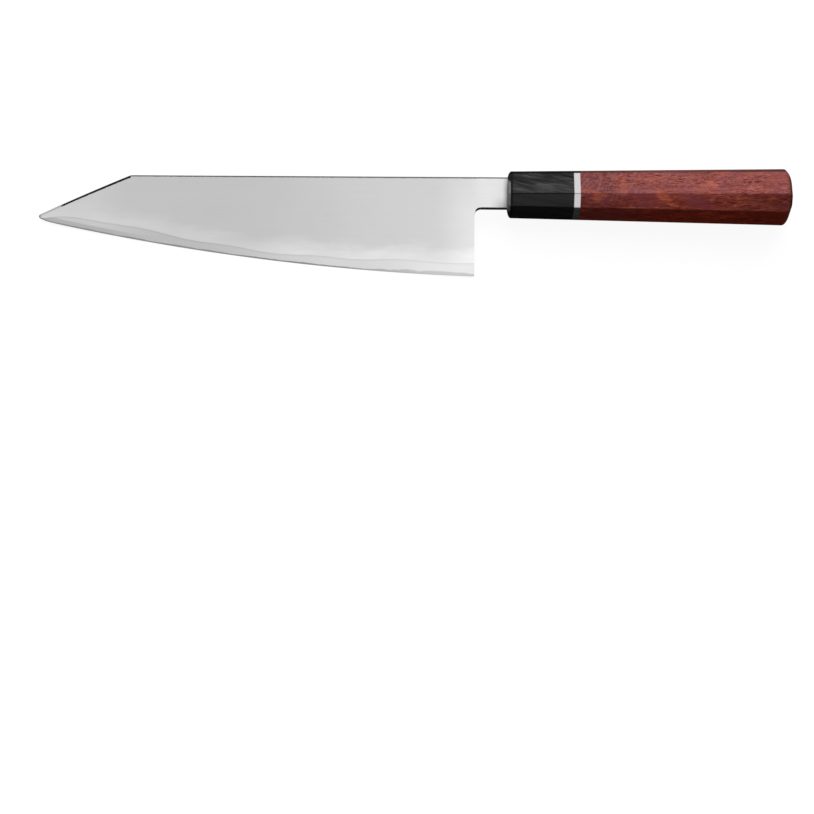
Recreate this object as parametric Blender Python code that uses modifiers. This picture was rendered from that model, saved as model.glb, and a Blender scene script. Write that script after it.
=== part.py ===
"""A 210 mm gyuto: a three-layer blade with a clipped point, in an octagonal handle.

The knife is modelled on its own axes, in metres. X runs from the point to the butt along the
handle's axis, Y rises from the edge to the spine, and Z is across the blade, with the left face
at +Z. At the end the whole knife is laid on a table, as it comes to rest: on its right side,
rolled over until the edge and the ferrule touch.
"""

import math

import bmesh
import bpy
from mathutils import Matrix, Vector

# Lengths along the knife
EDGE_LENGTH = 0.2100  # point to heel
NECK_LENGTH = 0.0154  # heel to the ferrule's front face
FERRULE_LENGTH = 0.0316
SPACER_LENGTH = 0.0031
BODY_LENGTH = 0.1020

# Blade outline
SPINE_RISE = 0.0083  # spine above the handle's axis, at the heel and along the neck
SPINE_FALL = 0.0005  # the spine's drop from the heel to the clipped point's corner
HEEL_HEIGHT = 0.0490  # spine to the heel's corner
HEEL_LEAN = 0.0004  # how far the heel's corner reaches back past its top
SLOPE_LENGTH = 0.0450  # length of the clipped point, along X
POINT_DROP = 0.0204  # heel's spine level down to where the clipped slope starts
SLOPE_BOW = 0.0003  # how far the slope bulges from a straight line
CORNER_SOFTNESS = 0.00015  # rounds the corner between slope and spine
EDGE_BELLY = 0.0051  # how far the edge sags below its chord
EDGE_START_DROP = 0.0228  # heel's spine level down to the start of the edge's chord
POINT_LIFT = 0.0012  # the edge sweeps up by this at the very point
POINT_LIFT_REACH = 0.0024
POINT_ROUNDING = 0.00045
NECK_HEIGHT = 0.0155
NECK_FILLET = 0.0030

# Blade thickness
SPINE_AT_HEEL = 0.0024
SPINE_AT_CORNER = 0.0018
SPINE_AT_POINT = 0.0007
FACE_TAPER = 0.0030  # metres lost per metre below the spine, on each flat face
BEVEL_SHARE = 0.66  # share of the blade's height that the ground bevel takes
BEVEL_CURVE = 1.70  # 1 is a flat bevel, and more is a rounder one
EDGE_BASE = 0.00008  # half thickness just behind the sharpened edge
SHARPENED_HEIGHT = 0.00035
SPINE_EASE = 0.00025
SLOPE_EASE = 0.00040
NECK_EASE = 0.00040

# Layers of the blade
CLAD_LINE = 0.0053  # mean height of the cladding's lower edge above the blade's edge
CLAD_SWELL = 0.0013  # slow wave of that line
CLAD_SWELL_LENGTH = 0.172
CLAD_SWELL_PEAK = 0.022
CLAD_RIPPLE = 0.0004  # quick wave on it
CLAD_RIPPLE_LENGTH = 0.041
CLAD_POINT_REACH = 0.012  # the line falls to the edge over this length at the point
CLAD_STEP = 0.00006  # thickness left at the cladding's lower edge, with the weld
WELD = 0.00002  # between core and cladding
CLAD_START = 0.0012

# Tang
TANG_LENGTH = 0.095  # past the ferrule's front face
TANG_HEIGHT = 0.0086
TANG_END_HEIGHT = 0.0052
TANG_THICKNESS = 0.0022
TANG_END_THICKNESS = 0.0018
SHOULDER_LENGTH = 0.0003

# Handle section, at the front and at the butt: across Z, along Y, and each cut corner's leg
FRONT_WIDTH = 0.0197
FRONT_HEIGHT = 0.0222
FRONT_LEG = 0.0080
BUTT_WIDTH = 0.0230
BUTT_HEIGHT = 0.0267
BUTT_LEG = 0.0089
RIDGE_EASE = 0.0004
FRONT_FLAT = 0.54  # share of the section left flat on the ferrule's front face
FRONT_ROUND = 0.0019  # how far back the rounding of the ferrule's front reaches
BUTT_DOME = 0.0047
DOME_END = 0.12  # share of the section left flat at the middle of the butt

# Inside the handle
MOUTH_DEPTH = 0.0025  # recess in the ferrule that the neck enters
FERRULE_WALL = 0.0087  # solid front of the ferrule, before the dowel's bore
DOWEL_DIAMETER = 0.0140
DOWEL_REACH = 0.0720  # how deep the dowel's bore goes into the body
DOWEL_CHAMFER = 0.0006
BEDDING_WALL = 0.0006
BEDDING_END = 0.0010
BEDDING_ROUNDING = 0.0009
FIT = 0.00025  # clearance around each inner piece
SEAM = 0.00005  # glue line between ferrule, spacer and body

# Where the edge touches the table, under the knife's balance, as a share of its length
TOUCH_SHARE = 0.56

# Places along X
FERRULE_X = EDGE_LENGTH + NECK_LENGTH
SPACER_X = FERRULE_X + FERRULE_LENGTH
BODY_X = SPACER_X + SPACER_LENGTH
BUTT_X = BODY_X + BODY_LENGTH
MOUTH_X = FERRULE_X + MOUTH_DEPTH
BORE_X = FERRULE_X + FERRULE_WALL
BORE_END_X = BODY_X + DOWEL_REACH
TANG_X = MOUTH_X - FIT
TANG_END_X = FERRULE_X + TANG_LENGTH
BEDDING_END_X = TANG_END_X + FIT + BEDDING_END

# Places along Y
SLOPE_START_Y = SPINE_RISE - POINT_DROP
EDGE_START_Y = SPINE_RISE - EDGE_START_DROP
HEEL_Y = SPINE_RISE - HEEL_HEIGHT
NECK_Y = SPINE_RISE - NECK_HEIGHT
NOTCH_Y = NECK_Y - NECK_FILLET
NOTCH_SHARE = (NOTCH_Y - HEEL_Y) / HEEL_HEIGHT

# Fineness of the sections and rings
POINT_SHARES = (0.04, 0.2, 0.5, 1)  # places along the point's rounding, as shares of it
SLOPE_STEPS = 16
SLOPE_CROWDING = 1.5  # more than 1 crowds the slope's sections towards the point
CORNER_STEP = 4 * CORNER_SOFTNESS
BODY_STEPS = 44
BEVEL_ROWS = (0.10, 0.22, 0.36, 0.52, 0.68, 0.84)  # shares of a section's ground bevel
FILLET_ANGLES = range(15, 91, 15)
FRONT_ANGLES = range(0, 91, 15)
DOME_STEPS = 8
BAR_SEGMENTS = 48
SMOOTH_ANGLE = 30
CAVITY_OVERCUT = 0.002


def between(start, end, share):
    return start + (end - start) * share


def steps(start, end, count):
    """count places from start, spaced evenly, leaving out end."""
    return [between(start, end, i / count) for i in range(count)]


# Blade outline

def slope_y(x):
    share = x / SLOPE_LENGTH
    bow = 4 * SLOPE_BOW * share * (1 - share)
    return between(SLOPE_START_Y, SPINE_RISE - SPINE_FALL, share) + bow


def spine_y(x):
    share = (EDGE_LENGTH - x) / (EDGE_LENGTH - SLOPE_LENGTH)
    return SPINE_RISE - SPINE_FALL * max(0, share)


def top_y(x):
    """The lower of the clipped slope and the spine, with a softened corner between them."""
    slope, spine = slope_y(x), spine_y(x)
    apart = abs(slope - spine) / CORNER_SOFTNESS
    return min(slope, spine) - CORNER_SOFTNESS * math.log1p(math.exp(-apart))


def edge_y(x):
    """The cutting edge: a shallow arc that sweeps up at the very point."""
    share = x / EDGE_LENGTH
    belly = 4 * EDGE_BELLY * share * (1 - share)
    lift = POINT_LIFT * math.exp(-x / POINT_LIFT_REACH)
    return between(EDGE_START_Y, HEEL_Y, share) - belly + lift


def outline(x):
    """Lowest and highest Y of the blade at x, rounded off at the point."""
    low, high = edge_y(x), top_y(x)
    if x < POINT_ROUNDING:
        shrink = math.sqrt(1 - (1 - x / POINT_ROUNDING) ** 2)
        middle = (low + high) / 2
        low, high = between(middle, low, shrink), between(middle, high, shrink)
    return low, high


def notch_y(x):
    """The level that becomes the underside of the neck behind the heel."""
    if x <= EDGE_LENGTH:
        low, high = outline(x)
        return between(low, high, NOTCH_SHARE)
    across = min(x - EDGE_LENGTH, NECK_FILLET) - NECK_FILLET
    return NOTCH_Y + math.sqrt(NECK_FILLET**2 - across**2)


# Blade thickness

def spine_half(x):
    """Half the spine's thickness: a long even taper, and a quicker one over the point."""
    share = (x - SLOPE_LENGTH) / (EDGE_LENGTH - SLOPE_LENGTH)
    if share < 0:
        return between(SPINE_AT_POINT, SPINE_AT_CORNER, x / SLOPE_LENGTH) / 2
    return between(SPINE_AT_CORNER, SPINE_AT_HEEL, share) / 2


def ground_half(x, y):
    """Half the blade's thickness at a point of its face: a flat face over a rounded bevel."""
    flat = spine_half(x) - FACE_TAPER * (SPINE_RISE - y)
    low, high = outline(x)
    share = min(1, (y - low) / (BEVEL_SHARE * (high - low)))
    return EDGE_BASE * (1 - share) + flat * (1 - (1 - share) ** BEVEL_CURVE)


def clad_line_y(x):
    """The wavy lower edge of the cladding, where the core steel comes out."""
    swell = CLAD_SWELL * math.cos(math.tau * (x - CLAD_SWELL_PEAK) / CLAD_SWELL_LENGTH)
    ripple = CLAD_RIPPLE * math.sin(math.tau * x / CLAD_RIPPLE_LENGTH)
    height = (CLAD_LINE + swell + ripple) * (1 - math.exp(-x / CLAD_POINT_REACH))
    low, high = outline(x)
    return low + height


def core_half(x):
    """Half the core's thickness: the face meets it at the cladding's wavy line."""
    x = min(x, EDGE_LENGTH)
    return ground_half(x, clad_line_y(x)) - CLAD_STEP


def spine_ease(x):
    """How much of the spine's corner is taken off, more on the slope and none at the point."""
    wide = SLOPE_EASE if x < SLOPE_LENGTH else SPINE_EASE
    room = ground_half(x, outline(x)[1]) - core_half(x) - WELD
    return min(wide, room / 2)


# Blade sections. The points that go on behind the heel come first in each.

def core_section(x):
    half = core_half(x)
    low, high = outline(x)
    line, notch = clad_line_y(x), notch_y(x)
    sharpened = low + min(SHARPENED_HEIGHT, (line - low) / 4)
    middle = (sharpened + line) / 2
    rows = [
        (line, half),
        (middle, ground_half(x, middle)),
        (sharpened, ground_half(x, sharpened)),
    ]
    kept = [(notch, half), (high, half), (high, -half), (notch, -half)]
    lower = [(y, -z) for y, z in rows] + [(low, 0)] + list(reversed(rows))
    return [lean(x, y, z) for y, z in kept + lower]


def cladding_section(x, side):
    inner = core_half(x) + WELD
    low, high = outline(x)
    line, notch, ease = clad_line_y(x), notch_y(x), spine_ease(x)
    upper = between(notch, high, 0.5)
    kept = [
        (notch, inner),
        (high, inner),
        (high, ground_half(x, high) - ease),
        (high - ease, ground_half(x, high - ease)),
        (upper, ground_half(x, upper)),
        (notch + NECK_EASE, ground_half(x, notch + NECK_EASE)),
        (notch, ground_half(x, notch)),
    ]
    rows = [between(notch, line, share) for share in BEVEL_ROWS]
    lower = [(y, ground_half(x, y)) for y in rows]
    lower += [(line, ground_half(x, line)), (line, inner)]
    return [lean(x, y, side * z) for y, z in kept + lower]


def lean(x, y, z):
    """A blade point, moved along X so that the heel leans back towards its corner."""
    if x == EDGE_LENGTH and y < NOTCH_Y:
        x += HEEL_LEAN * (NOTCH_Y - y) / (NOTCH_Y - HEEL_Y)
    return Vector((x, y, z))


def core_shank(x, low, high):
    half = core_half(x)
    corners = [(low, half), (high, half), (high, -half), (low, -half)]
    return [Vector((x, y, z)) for y, z in corners]


def cladding_shank(x, low, high, outer, side):
    """A section of the neck or tang, with both outer corners eased."""
    inner = core_half(x) + WELD
    points = [
        (low, inner),
        (high, inner),
        (high, outer - SPINE_EASE),
        (high - SPINE_EASE, outer),
        ((low + high) / 2, outer),
        (low + NECK_EASE, outer),
        (low, outer - NECK_EASE),
    ]
    return [Vector((x, y, side * z)) for y, z in points]


def shank_places():
    """x, low, high and half thickness of each section of the neck and the tang."""
    face = spine_half(EDGE_LENGTH) - FACE_TAPER * NECK_HEIGHT / 2
    for angle in FILLET_ANGLES:
        x = EDGE_LENGTH + NECK_FILLET * (1 - math.cos(math.radians(angle)))
        yield x, notch_y(x), SPINE_RISE, face
    yield TANG_X - SHOULDER_LENGTH, NECK_Y, SPINE_RISE, face
    yield TANG_X, -TANG_HEIGHT / 2, TANG_HEIGHT / 2, TANG_THICKNESS / 2
    yield TANG_END_X, -TANG_END_HEIGHT / 2, TANG_END_HEIGHT / 2, TANG_END_THICKNESS / 2


def blade_places():
    """Places along X for the blade's sections, closer together at the point."""
    rounding = [POINT_ROUNDING * share for share in POINT_SHARES]
    point = [(POINT_ROUNDING + CLAD_START) / 2]
    shares = [(i / SLOPE_STEPS) ** SLOPE_CROWDING for i in range(SLOPE_STEPS)]
    slope = [between(CLAD_START, SLOPE_LENGTH, share) for share in shares]
    corner = [SLOPE_LENGTH + step for step in (-CORNER_STEP, 0, CORNER_STEP)]
    body = steps(SLOPE_LENGTH, EDGE_LENGTH, BODY_STEPS)[1:]
    return rounding + point + slope + corner + body + [EDGE_LENGTH]


# Mesh helpers

def bridge(bm, first, second):
    for i in range(len(first)):
        j = (i + 1) % len(first)
        bm.faces.new((first[i], first[j], second[j], second[i]))


def new_rings(bm, rings):
    rows = [[bm.verts.new(point) for point in ring] for ring in rings]
    for first, second in zip(rows, rows[1:]):
        bridge(bm, first, second)
    return rows


def mesh_from(name, bm):
    bmesh.ops.recalc_face_normals(bm, faces=bm.faces)
    mesh = bpy.data.meshes.new(name)
    bm.to_mesh(mesh)
    bm.free()
    return mesh


def loft(name, rings):
    """A closed skin over rings of equal length."""
    bm = bmesh.new()
    rows = new_rings(bm, rings)
    bm.faces.new(reversed(rows[0]))
    bm.faces.new(rows[-1])
    return mesh_from(name, bm)


def blade_loft(name, blade_rings, shank_rings):
    """A skin over the blade that steps up at the heel, and goes on over the neck and tang."""
    bm = bmesh.new()
    blade = new_rings(bm, blade_rings)
    shank = new_rings(bm, shank_rings)
    heel = blade[-1]
    kept = len(shank[0])
    bridge(bm, heel[:kept], shank[0])
    bm.faces.new([heel[0]] + heel[kept - 1 :])
    bm.faces.new(reversed(blade[0]))
    bm.faces.new(shank[-1])
    return mesh_from(name, bm)


def new_collection(name):
    collection = bpy.data.collections.new(name)
    bpy.context.scene.collection.children.link(collection)
    return collection


def new_object(name, mesh, collection, material=None):
    obj = bpy.data.objects.new(name, mesh)
    collection.objects.link(obj)
    if material:
        mesh.materials.append(material)
    return obj


def new_material(name, colour, roughness, metallic=0.0):
    material = bpy.data.materials.new(name)
    material.use_nodes = True
    shader = material.node_tree.nodes["Principled BSDF"]
    shader.inputs["Base Color"].default_value = (*colour, 1)
    shader.inputs["Roughness"].default_value = roughness
    shader.inputs["Metallic"].default_value = metallic
    return material


def round_bar(name, diameter, start, end, collection, material=None):
    """A round bar along X, from a cylinder."""
    bm = bmesh.new()
    bmesh.ops.create_cone(
        bm,
        cap_ends=True,
        segments=BAR_SEGMENTS,
        radius1=diameter / 2,
        radius2=diameter / 2,
        depth=end - start,
        matrix=Matrix.Translation(((start + end) / 2, 0, 0))
        @ Matrix.Rotation(math.pi / 2, 4, "Y"),
    )
    return new_object(name, mesh_from(name, bm), collection, material)


def flat_bar(name, low, high, thickness, start, end, rounding, collection, material=None):
    """A bar along X with a flat section and rounded corners, from a box and a bevel."""
    bm = bmesh.new()
    size = Vector((end - start, high - low, thickness))
    centre = Vector(((start + end) / 2, (low + high) / 2, 0))
    bmesh.ops.create_cube(
        bm, size=1, matrix=Matrix.Translation(centre) @ Matrix.Diagonal(size).to_4x4()
    )
    along = [e for e in bm.edges if abs(e.verts[0].co.x - e.verts[1].co.x) > size.x / 2]
    bmesh.ops.bevel(
        bm, geom=along, offset=rounding, segments=3, profile=0.5, affect="EDGES"
    )
    return new_object(name, mesh_from(name, bm), collection, material)


def cut(obj, cutter):
    modifier = obj.modifiers.new("cut_" + cutter.name, "BOOLEAN")
    modifier.operation = "DIFFERENCE"
    modifier.solver = "EXACT"
    modifier.object = cutter


def hide_cutters(collection):
    for obj in collection.objects:
        obj.hide_render = True
        obj.display_type = "WIRE"


def shade_by_angle(obj, degrees):
    obj.data.shade_smooth()
    obj.data.set_sharp_from_angle(angle=math.radians(degrees))


# Blade pieces

def make_core(parts, steel):
    blade = [core_section(x) for x in blade_places()]
    shank = [core_shank(x, low, high) for x, low, high, _ in shank_places()]
    return new_object("blade_core", blade_loft("blade_core", blade, shank), parts, steel)


def make_cladding(name, side, parts, steel):
    blade = [cladding_section(x, side) for x in blade_places() if x >= CLAD_START]
    shank = [cladding_shank(*place, side) for place in shank_places()]
    return new_object(name, blade_loft(name, blade, shank), parts, steel)


# Handle pieces

def octagon(x, share=1.0):
    """The handle's eight-sided section at x, scaled about the axis, with eased ridges."""
    along = (x - FERRULE_X) / (BUTT_X - FERRULE_X)
    half_y = between(FRONT_HEIGHT, BUTT_HEIGHT, along) / 2 * share
    half_z = between(FRONT_WIDTH, BUTT_WIDTH, along) / 2 * share
    leg = between(FRONT_LEG, BUTT_LEG, along) * share
    quarter = [(half_y, half_z - leg), (half_y - leg, half_z)]
    corners = quarter + [(-y, z) for y, z in reversed(quarter)]
    corners += [(-y, -z) for y, z in quarter] + [(y, -z) for y, z in reversed(quarter)]
    corners = [Vector((x, y, z)) for y, z in corners]
    ring = []
    for i, corner in enumerate(corners):
        before = (corners[i - 1] - corner).normalized() * RIDGE_EASE * share
        after = (corners[(i + 1) % 8] - corner).normalized() * RIDGE_EASE * share
        ring += [corner + before, corner + (before + after) / 4, corner + after]
    return ring


def front_ring(degrees):
    """The ferrule's section at this angle round its rounded front edge."""
    angle = math.radians(degrees)
    x = FERRULE_X + FRONT_ROUND * (1 - math.cos(angle))
    return octagon(x, between(FRONT_FLAT, 1, math.sin(angle)))


def make_ferrule(parts, horn, cutters):
    rings = [front_ring(degrees) for degrees in FRONT_ANGLES]
    rings.append(octagon(SPACER_X - SEAM))
    ferrule = new_object("ferrule", loft("ferrule", rings), parts, horn)
    for cutter in ("mouth_cutter", "slot_cutter", "bore_cutter"):
        cut(ferrule, cutters[cutter])
    return ferrule


def make_spacer(parts, metal, cutters):
    rings = [octagon(SPACER_X), octagon(BODY_X - SEAM)]
    spacer = new_object("spacer_ring", loft("spacer_ring", rings), parts, metal)
    cut(spacer, cutters["bore_cutter"])
    return spacer


def make_body(parts, wood, cutters):
    rings = [octagon(BODY_X)]
    last = math.acos(DOME_END)
    for i in range(DOME_STEPS + 1):
        angle = last * i / DOME_STEPS
        x = BUTT_X - BUTT_DOME * (1 - math.sin(angle))
        rings.append(octagon(x, math.cos(angle)))
    body = new_object("handle_body", loft("handle_body", rings), parts, wood)
    cut(body, cutters["bore_cutter"])
    return body


def make_dowel(parts, wood, cutters):
    dowel = round_bar(
        "handle_dowel", DOWEL_DIAMETER, BORE_X + FIT, BORE_END_X - FIT, parts, wood
    )
    bevel = dowel.modifiers.new("chamfer", "BEVEL")
    bevel.width = DOWEL_CHAMFER
    bevel.segments = 1
    bevel.limit_method = "ANGLE"
    bevel.angle_limit = math.radians(45)
    cut(dowel, cutters["slot_cutter"])
    return dowel


def make_bedding(parts, resin, cutters):
    """The resin that fills the slot round the tang: a sleeve, closed at its far end."""
    half_y = TANG_HEIGHT / 2 + FIT + BEDDING_WALL
    bedding = flat_bar(
        "tang_bedding",
        -half_y,
        half_y,
        TANG_THICKNESS + 2 * (FIT + BEDDING_WALL),
        MOUTH_X + SEAM,
        BEDDING_END_X,
        BEDDING_ROUNDING,
        parts,
        resin,
    )
    cut(bedding, cutters["tang_cutter"])
    return bedding


def make_cutters(collection):
    half_y = TANG_HEIGHT / 2 + BEDDING_WALL + 2 * FIT
    slot = flat_bar(
        "slot_cutter",
        -half_y,
        half_y,
        TANG_THICKNESS + 2 * BEDDING_WALL + 4 * FIT,
        MOUTH_X - SHOULDER_LENGTH,
        BEDDING_END_X + FIT,
        BEDDING_ROUNDING + FIT,
        collection,
    )
    mouth = flat_bar(
        "mouth_cutter",
        NECK_Y - FIT,
        SPINE_RISE + FIT,
        SPINE_AT_HEEL + 2 * FIT,
        FERRULE_X - MOUTH_DEPTH,
        MOUTH_X,
        NECK_EASE,
        collection,
    )
    bore = round_bar(
        "bore_cutter", DOWEL_DIAMETER + 2 * FIT, BORE_X, BORE_END_X, collection
    )
    cavity = [
        tang_cavity(MOUTH_X - CAVITY_OVERCUT),
        tang_cavity(TANG_END_X + FIT),
    ]
    tang = new_object("tang_cutter", loft("tang_cutter", cavity), collection)
    return {cutter.name: cutter for cutter in (slot, mouth, bore, tang)}


def tang_cavity(x):
    """The tang's section at x, grown by the fit."""
    along = (x - TANG_X) / (TANG_END_X - TANG_X)
    half_y = between(TANG_HEIGHT, TANG_END_HEIGHT, along) / 2 + FIT
    half_z = between(TANG_THICKNESS, TANG_END_THICKNESS, along) / 2 + FIT
    corners = [(half_y, half_z), (half_y, -half_z), (-half_y, -half_z), (-half_y, half_z)]
    return [Vector((x, y, z)) for y, z in corners]


# Rest

def rest_rotation():
    """Turns the knife so that the table's plane, under the ferrule and the edge, is level."""
    along = TOUCH_SHARE * EDGE_LENGTH
    touch = Vector((along, edge_y(along), 0))
    rise = EDGE_LENGTH / 1000
    tangent = Vector((2 * rise, edge_y(along + rise) - edge_y(along - rise), 0))
    ridge_y = FRONT_LEG - FRONT_HEIGHT / 2
    ridge = Vector((FERRULE_X + FRONT_ROUND, ridge_y, -FRONT_WIDTH / 2))
    up = tangent.cross(ridge - touch).normalized()
    forward = (Vector((1, 0, 0)) - up * up.x).normalized()
    return Matrix((forward, up.cross(forward), up)).to_4x4()


def lay_down(parts, cutters):
    """Parents every piece and cutter to one empty, which holds the knife's axes at rest."""
    frame = bpy.data.objects.new("knife_axes", None)
    bpy.context.scene.collection.objects.link(frame)
    turn = rest_rotation()
    bpy.context.view_layer.update()
    graph = bpy.context.evaluated_depsgraph_get()
    corners = []
    for obj in parts.objects:
        mesh = obj.evaluated_get(graph).to_mesh()
        corners += [turn @ vertex.co for vertex in mesh.vertices]
        obj.evaluated_get(graph).to_mesh_clear()
    low = Vector(min(corner[axis] for corner in corners) for axis in range(3))
    high = Vector(max(corner[axis] for corner in corners) for axis in range(3))
    middle = (low + high) / 2
    frame.matrix_world = Matrix.Translation((-middle.x, -middle.y, -low.z)) @ turn
    for obj in [*parts.objects, *cutters.objects]:
        obj.parent = frame


def main():
    for obj in list(bpy.data.objects):
        bpy.data.objects.remove(obj, do_unlink=True)
    parts = new_collection("gyuto_knife")
    cutter_collection = new_collection("cutters")
    cutters = make_cutters(cutter_collection)

    hard_steel = new_material("core_steel", (0.60, 0.61, 0.62), 0.28, 1.0)
    soft_steel = new_material("satin_cladding", (0.68, 0.68, 0.69), 0.36, 1.0)
    horn = new_material("black_horn", (0.022, 0.022, 0.024), 0.30)
    nickel = new_material("white_metal", (0.82, 0.81, 0.84), 0.22, 1.0)
    red_wood = new_material("red_hardwood", (0.20, 0.045, 0.028), 0.42)
    pale_wood = new_material("dowel_wood", (0.55, 0.40, 0.24), 0.70)
    resin = new_material("bedding_resin", (0.10, 0.085, 0.06), 0.35)

    make_core(parts, hard_steel)
    make_cladding("cladding_left", 1, parts, soft_steel)
    make_cladding("cladding_right", -1, parts, soft_steel)
    make_ferrule(parts, horn, cutters)
    make_spacer(parts, nickel, cutters)
    make_body(parts, red_wood, cutters)
    make_dowel(parts, pale_wood, cutters)
    make_bedding(parts, resin, cutters)
    hide_cutters(cutter_collection)
    lay_down(parts, cutter_collection)
    for obj in parts.objects:
        shade_by_angle(obj, SMOOTH_ANGLE)


main()
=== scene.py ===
# %% [markdown]
# # Dressing a 210 mm gyuto
#
# A gyuto is the tall, thin chef's knife of Japan. This one has a three-layer blade with a clipped
# point, and an eight-sided handle with a horn ferrule, a thin metal spacer and a red hardwood body.
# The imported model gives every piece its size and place. This lesson keeps those places and gives
# each piece its finish: fine meshes where the light runs along a curve, and node materials
# for satin steel, horn, nickel silver and figured wood.

import math

import bmesh
import bpy
from mathutils import Matrix, Vector


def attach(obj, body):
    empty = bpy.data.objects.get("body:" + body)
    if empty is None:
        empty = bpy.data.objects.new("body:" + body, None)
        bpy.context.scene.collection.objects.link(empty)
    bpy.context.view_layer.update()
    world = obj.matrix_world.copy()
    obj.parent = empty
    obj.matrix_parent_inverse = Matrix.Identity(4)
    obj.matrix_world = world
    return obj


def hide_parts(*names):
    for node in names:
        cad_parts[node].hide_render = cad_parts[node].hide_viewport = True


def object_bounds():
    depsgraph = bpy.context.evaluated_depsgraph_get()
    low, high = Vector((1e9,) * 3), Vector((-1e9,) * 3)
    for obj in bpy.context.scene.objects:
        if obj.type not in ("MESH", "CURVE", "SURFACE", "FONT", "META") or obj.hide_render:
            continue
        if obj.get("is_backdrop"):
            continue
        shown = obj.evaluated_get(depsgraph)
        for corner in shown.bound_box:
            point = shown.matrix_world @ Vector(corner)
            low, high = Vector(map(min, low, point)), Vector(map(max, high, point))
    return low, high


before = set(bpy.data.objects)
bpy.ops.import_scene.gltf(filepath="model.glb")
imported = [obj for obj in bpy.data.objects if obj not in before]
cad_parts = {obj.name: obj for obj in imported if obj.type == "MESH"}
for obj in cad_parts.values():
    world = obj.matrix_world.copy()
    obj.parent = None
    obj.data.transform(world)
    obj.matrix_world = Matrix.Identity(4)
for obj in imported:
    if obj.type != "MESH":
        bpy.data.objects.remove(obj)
cad_low, cad_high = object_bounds()

MM = 0.001  # Blender counts in metres, and the knife's sizes below are in millimetres
print("size of the solids in mm:", [round(side / MM, 1) for side in cad_high - cad_low])

# %% [markdown]
# ## Camera
#
# The photograph looks almost straight down on the knife, with the point to the left and the knife
# in the upper half of a square picture. The camera stands one metre above the table with a long
# lens, and its place and turn were fitted to the outline of the knife in the photograph.

# %% Camera
CAMERA_PLACE = (-0.0247, 0.0226, 1.0)  # metres
CAMERA_TURN = (-6.4805, -1.2122, 0.5127)  # degrees about X, Y and Z
CAMERA_LENS = 90.84  # mm, on a 36 mm sensor
CAMERA_REACH = (0.01, 100)  # metres


def add_object(name, data):
    """A new object in the scene, at the origin."""
    made = bpy.data.objects.new(name, data)
    bpy.context.scene.collection.objects.link(made)
    return made


camera_data = bpy.data.cameras.new("camera")
camera_data.lens = CAMERA_LENS
camera_data.clip_start, camera_data.clip_end = CAMERA_REACH
camera = add_object("camera", camera_data)
camera.location = CAMERA_PLACE
camera.rotation_euler = [math.radians(angle) for angle in CAMERA_TURN]
bpy.context.scene.camera = camera
print("camera stands", CAMERA_PLACE, "with a lens of", CAMERA_LENS, "mm")

# %% [markdown]
# ## The knife's own axes
#
# A knife is easiest to describe on its own axes: X from the point to the butt along the handle, Y
# from the edge up to the spine, and Z across the blade. On the table it lies rolled onto its edge,
# so those axes are found from the solids themselves. The two claddings are mirror images, which
# gives Z, and the spacer and the handle's body share the handle's axis, which gives X.

# %% Finding the axes
SPACER_X = 257.0  # where the spacer starts, measured from the point


def surface_centre(node):
    """The centre of a node's surface, each triangle counted by its area."""
    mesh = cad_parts[node].data
    total = Vector((0, 0, 0))
    area = 0
    for polygon in mesh.polygons:
        total += polygon.center * polygon.area
        area += polygon.area
    return total / area


def reach_along(node, direction):
    """The lowest and the highest reach of a node in a direction."""
    reach = [vertex.co.dot(direction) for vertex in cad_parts[node].data.vertices]
    return min(reach), max(reach)


across = (surface_centre("cladding_left") - surface_centre("cladding_right")).normalized()
along = (surface_centre("handle_body") - surface_centre("spacer_ring")).normalized()
along = (along - across * along.dot(across)).normalized()
upward = across.cross(along)
origin = along * (reach_along("spacer_ring", along)[0] - SPACER_X * MM)
for direction in (upward, across):
    origin += direction * sum(reach_along("spacer_ring", direction)) / 2
at_rest = Matrix.Translation(origin) @ Matrix((along, upward, across)).transposed().to_4x4()
print("the point lies at", [round(value / MM, 2) for value in origin], "mm")

# %% [markdown]
# ## The blade's outline
#
# The blade's sizes are the ones that shaped the solids, so that the finer surface lies in the same
# place. Seen from the side, four curves bound the blade: the clipped slope at the point, the spine,
# the edge, and the heel. Each is a small formula in x. A soft minimum joins the slope to the spine,
# so the corner between them is crisp but not a knife cut.

# %% Outline sizes
EDGE_LENGTH = 210.0
SPINE_RISE = 8.3  # above the handle's axis, from which all heights are counted
SPINE_FALL = 0.5  # on the way from the heel to the clipped corner
HEEL_HEIGHT = 49.0
SLOPE_LENGTH = 45.0  # of the clipped slope, along X
SLOPE_BOW = 0.3  # how far it bulges in its middle
CORNER_SOFTNESS = 0.15
POINT_DROP = 20.4  # from the spine's level down to the start of the slope
POINT_LIFT = 1.2  # the last turn of the edge, up to the point
POINT_LIFT_REACH = 2.4
POINT_ROUNDING = 0.45
EDGE_BELLY = 5.1  # how far the edge hangs below its chord
EDGE_START_DROP = 22.8  # from the spine's level down to the start of the chord
NECK_HEIGHT = 15.5
NECK_FILLET = 3.0  # the radius where the heel's rear turns into the neck
HEEL_Y = SPINE_RISE - HEEL_HEIGHT
NECK_Y = SPINE_RISE - NECK_HEIGHT
NOTCH_Y = NECK_Y - NECK_FILLET


# %% Outline
def between(start, end, share):
    """The value at a share of the way from start to end."""
    return start + (end - start) * share


def top_y(x):
    """The clipped slope or the spine, whichever is lower, with a softened corner."""
    share = x / SLOPE_LENGTH
    slope = between(SPINE_RISE - POINT_DROP, SPINE_RISE - SPINE_FALL, share)
    slope += 4 * SLOPE_BOW * share * (1 - share)
    back = (EDGE_LENGTH - x) / (EDGE_LENGTH - SLOPE_LENGTH)
    spine = SPINE_RISE - SPINE_FALL * max(0, back)
    apart = abs(slope - spine) / CORNER_SOFTNESS
    return min(slope, spine) - CORNER_SOFTNESS * math.log1p(math.exp(-apart))


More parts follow.
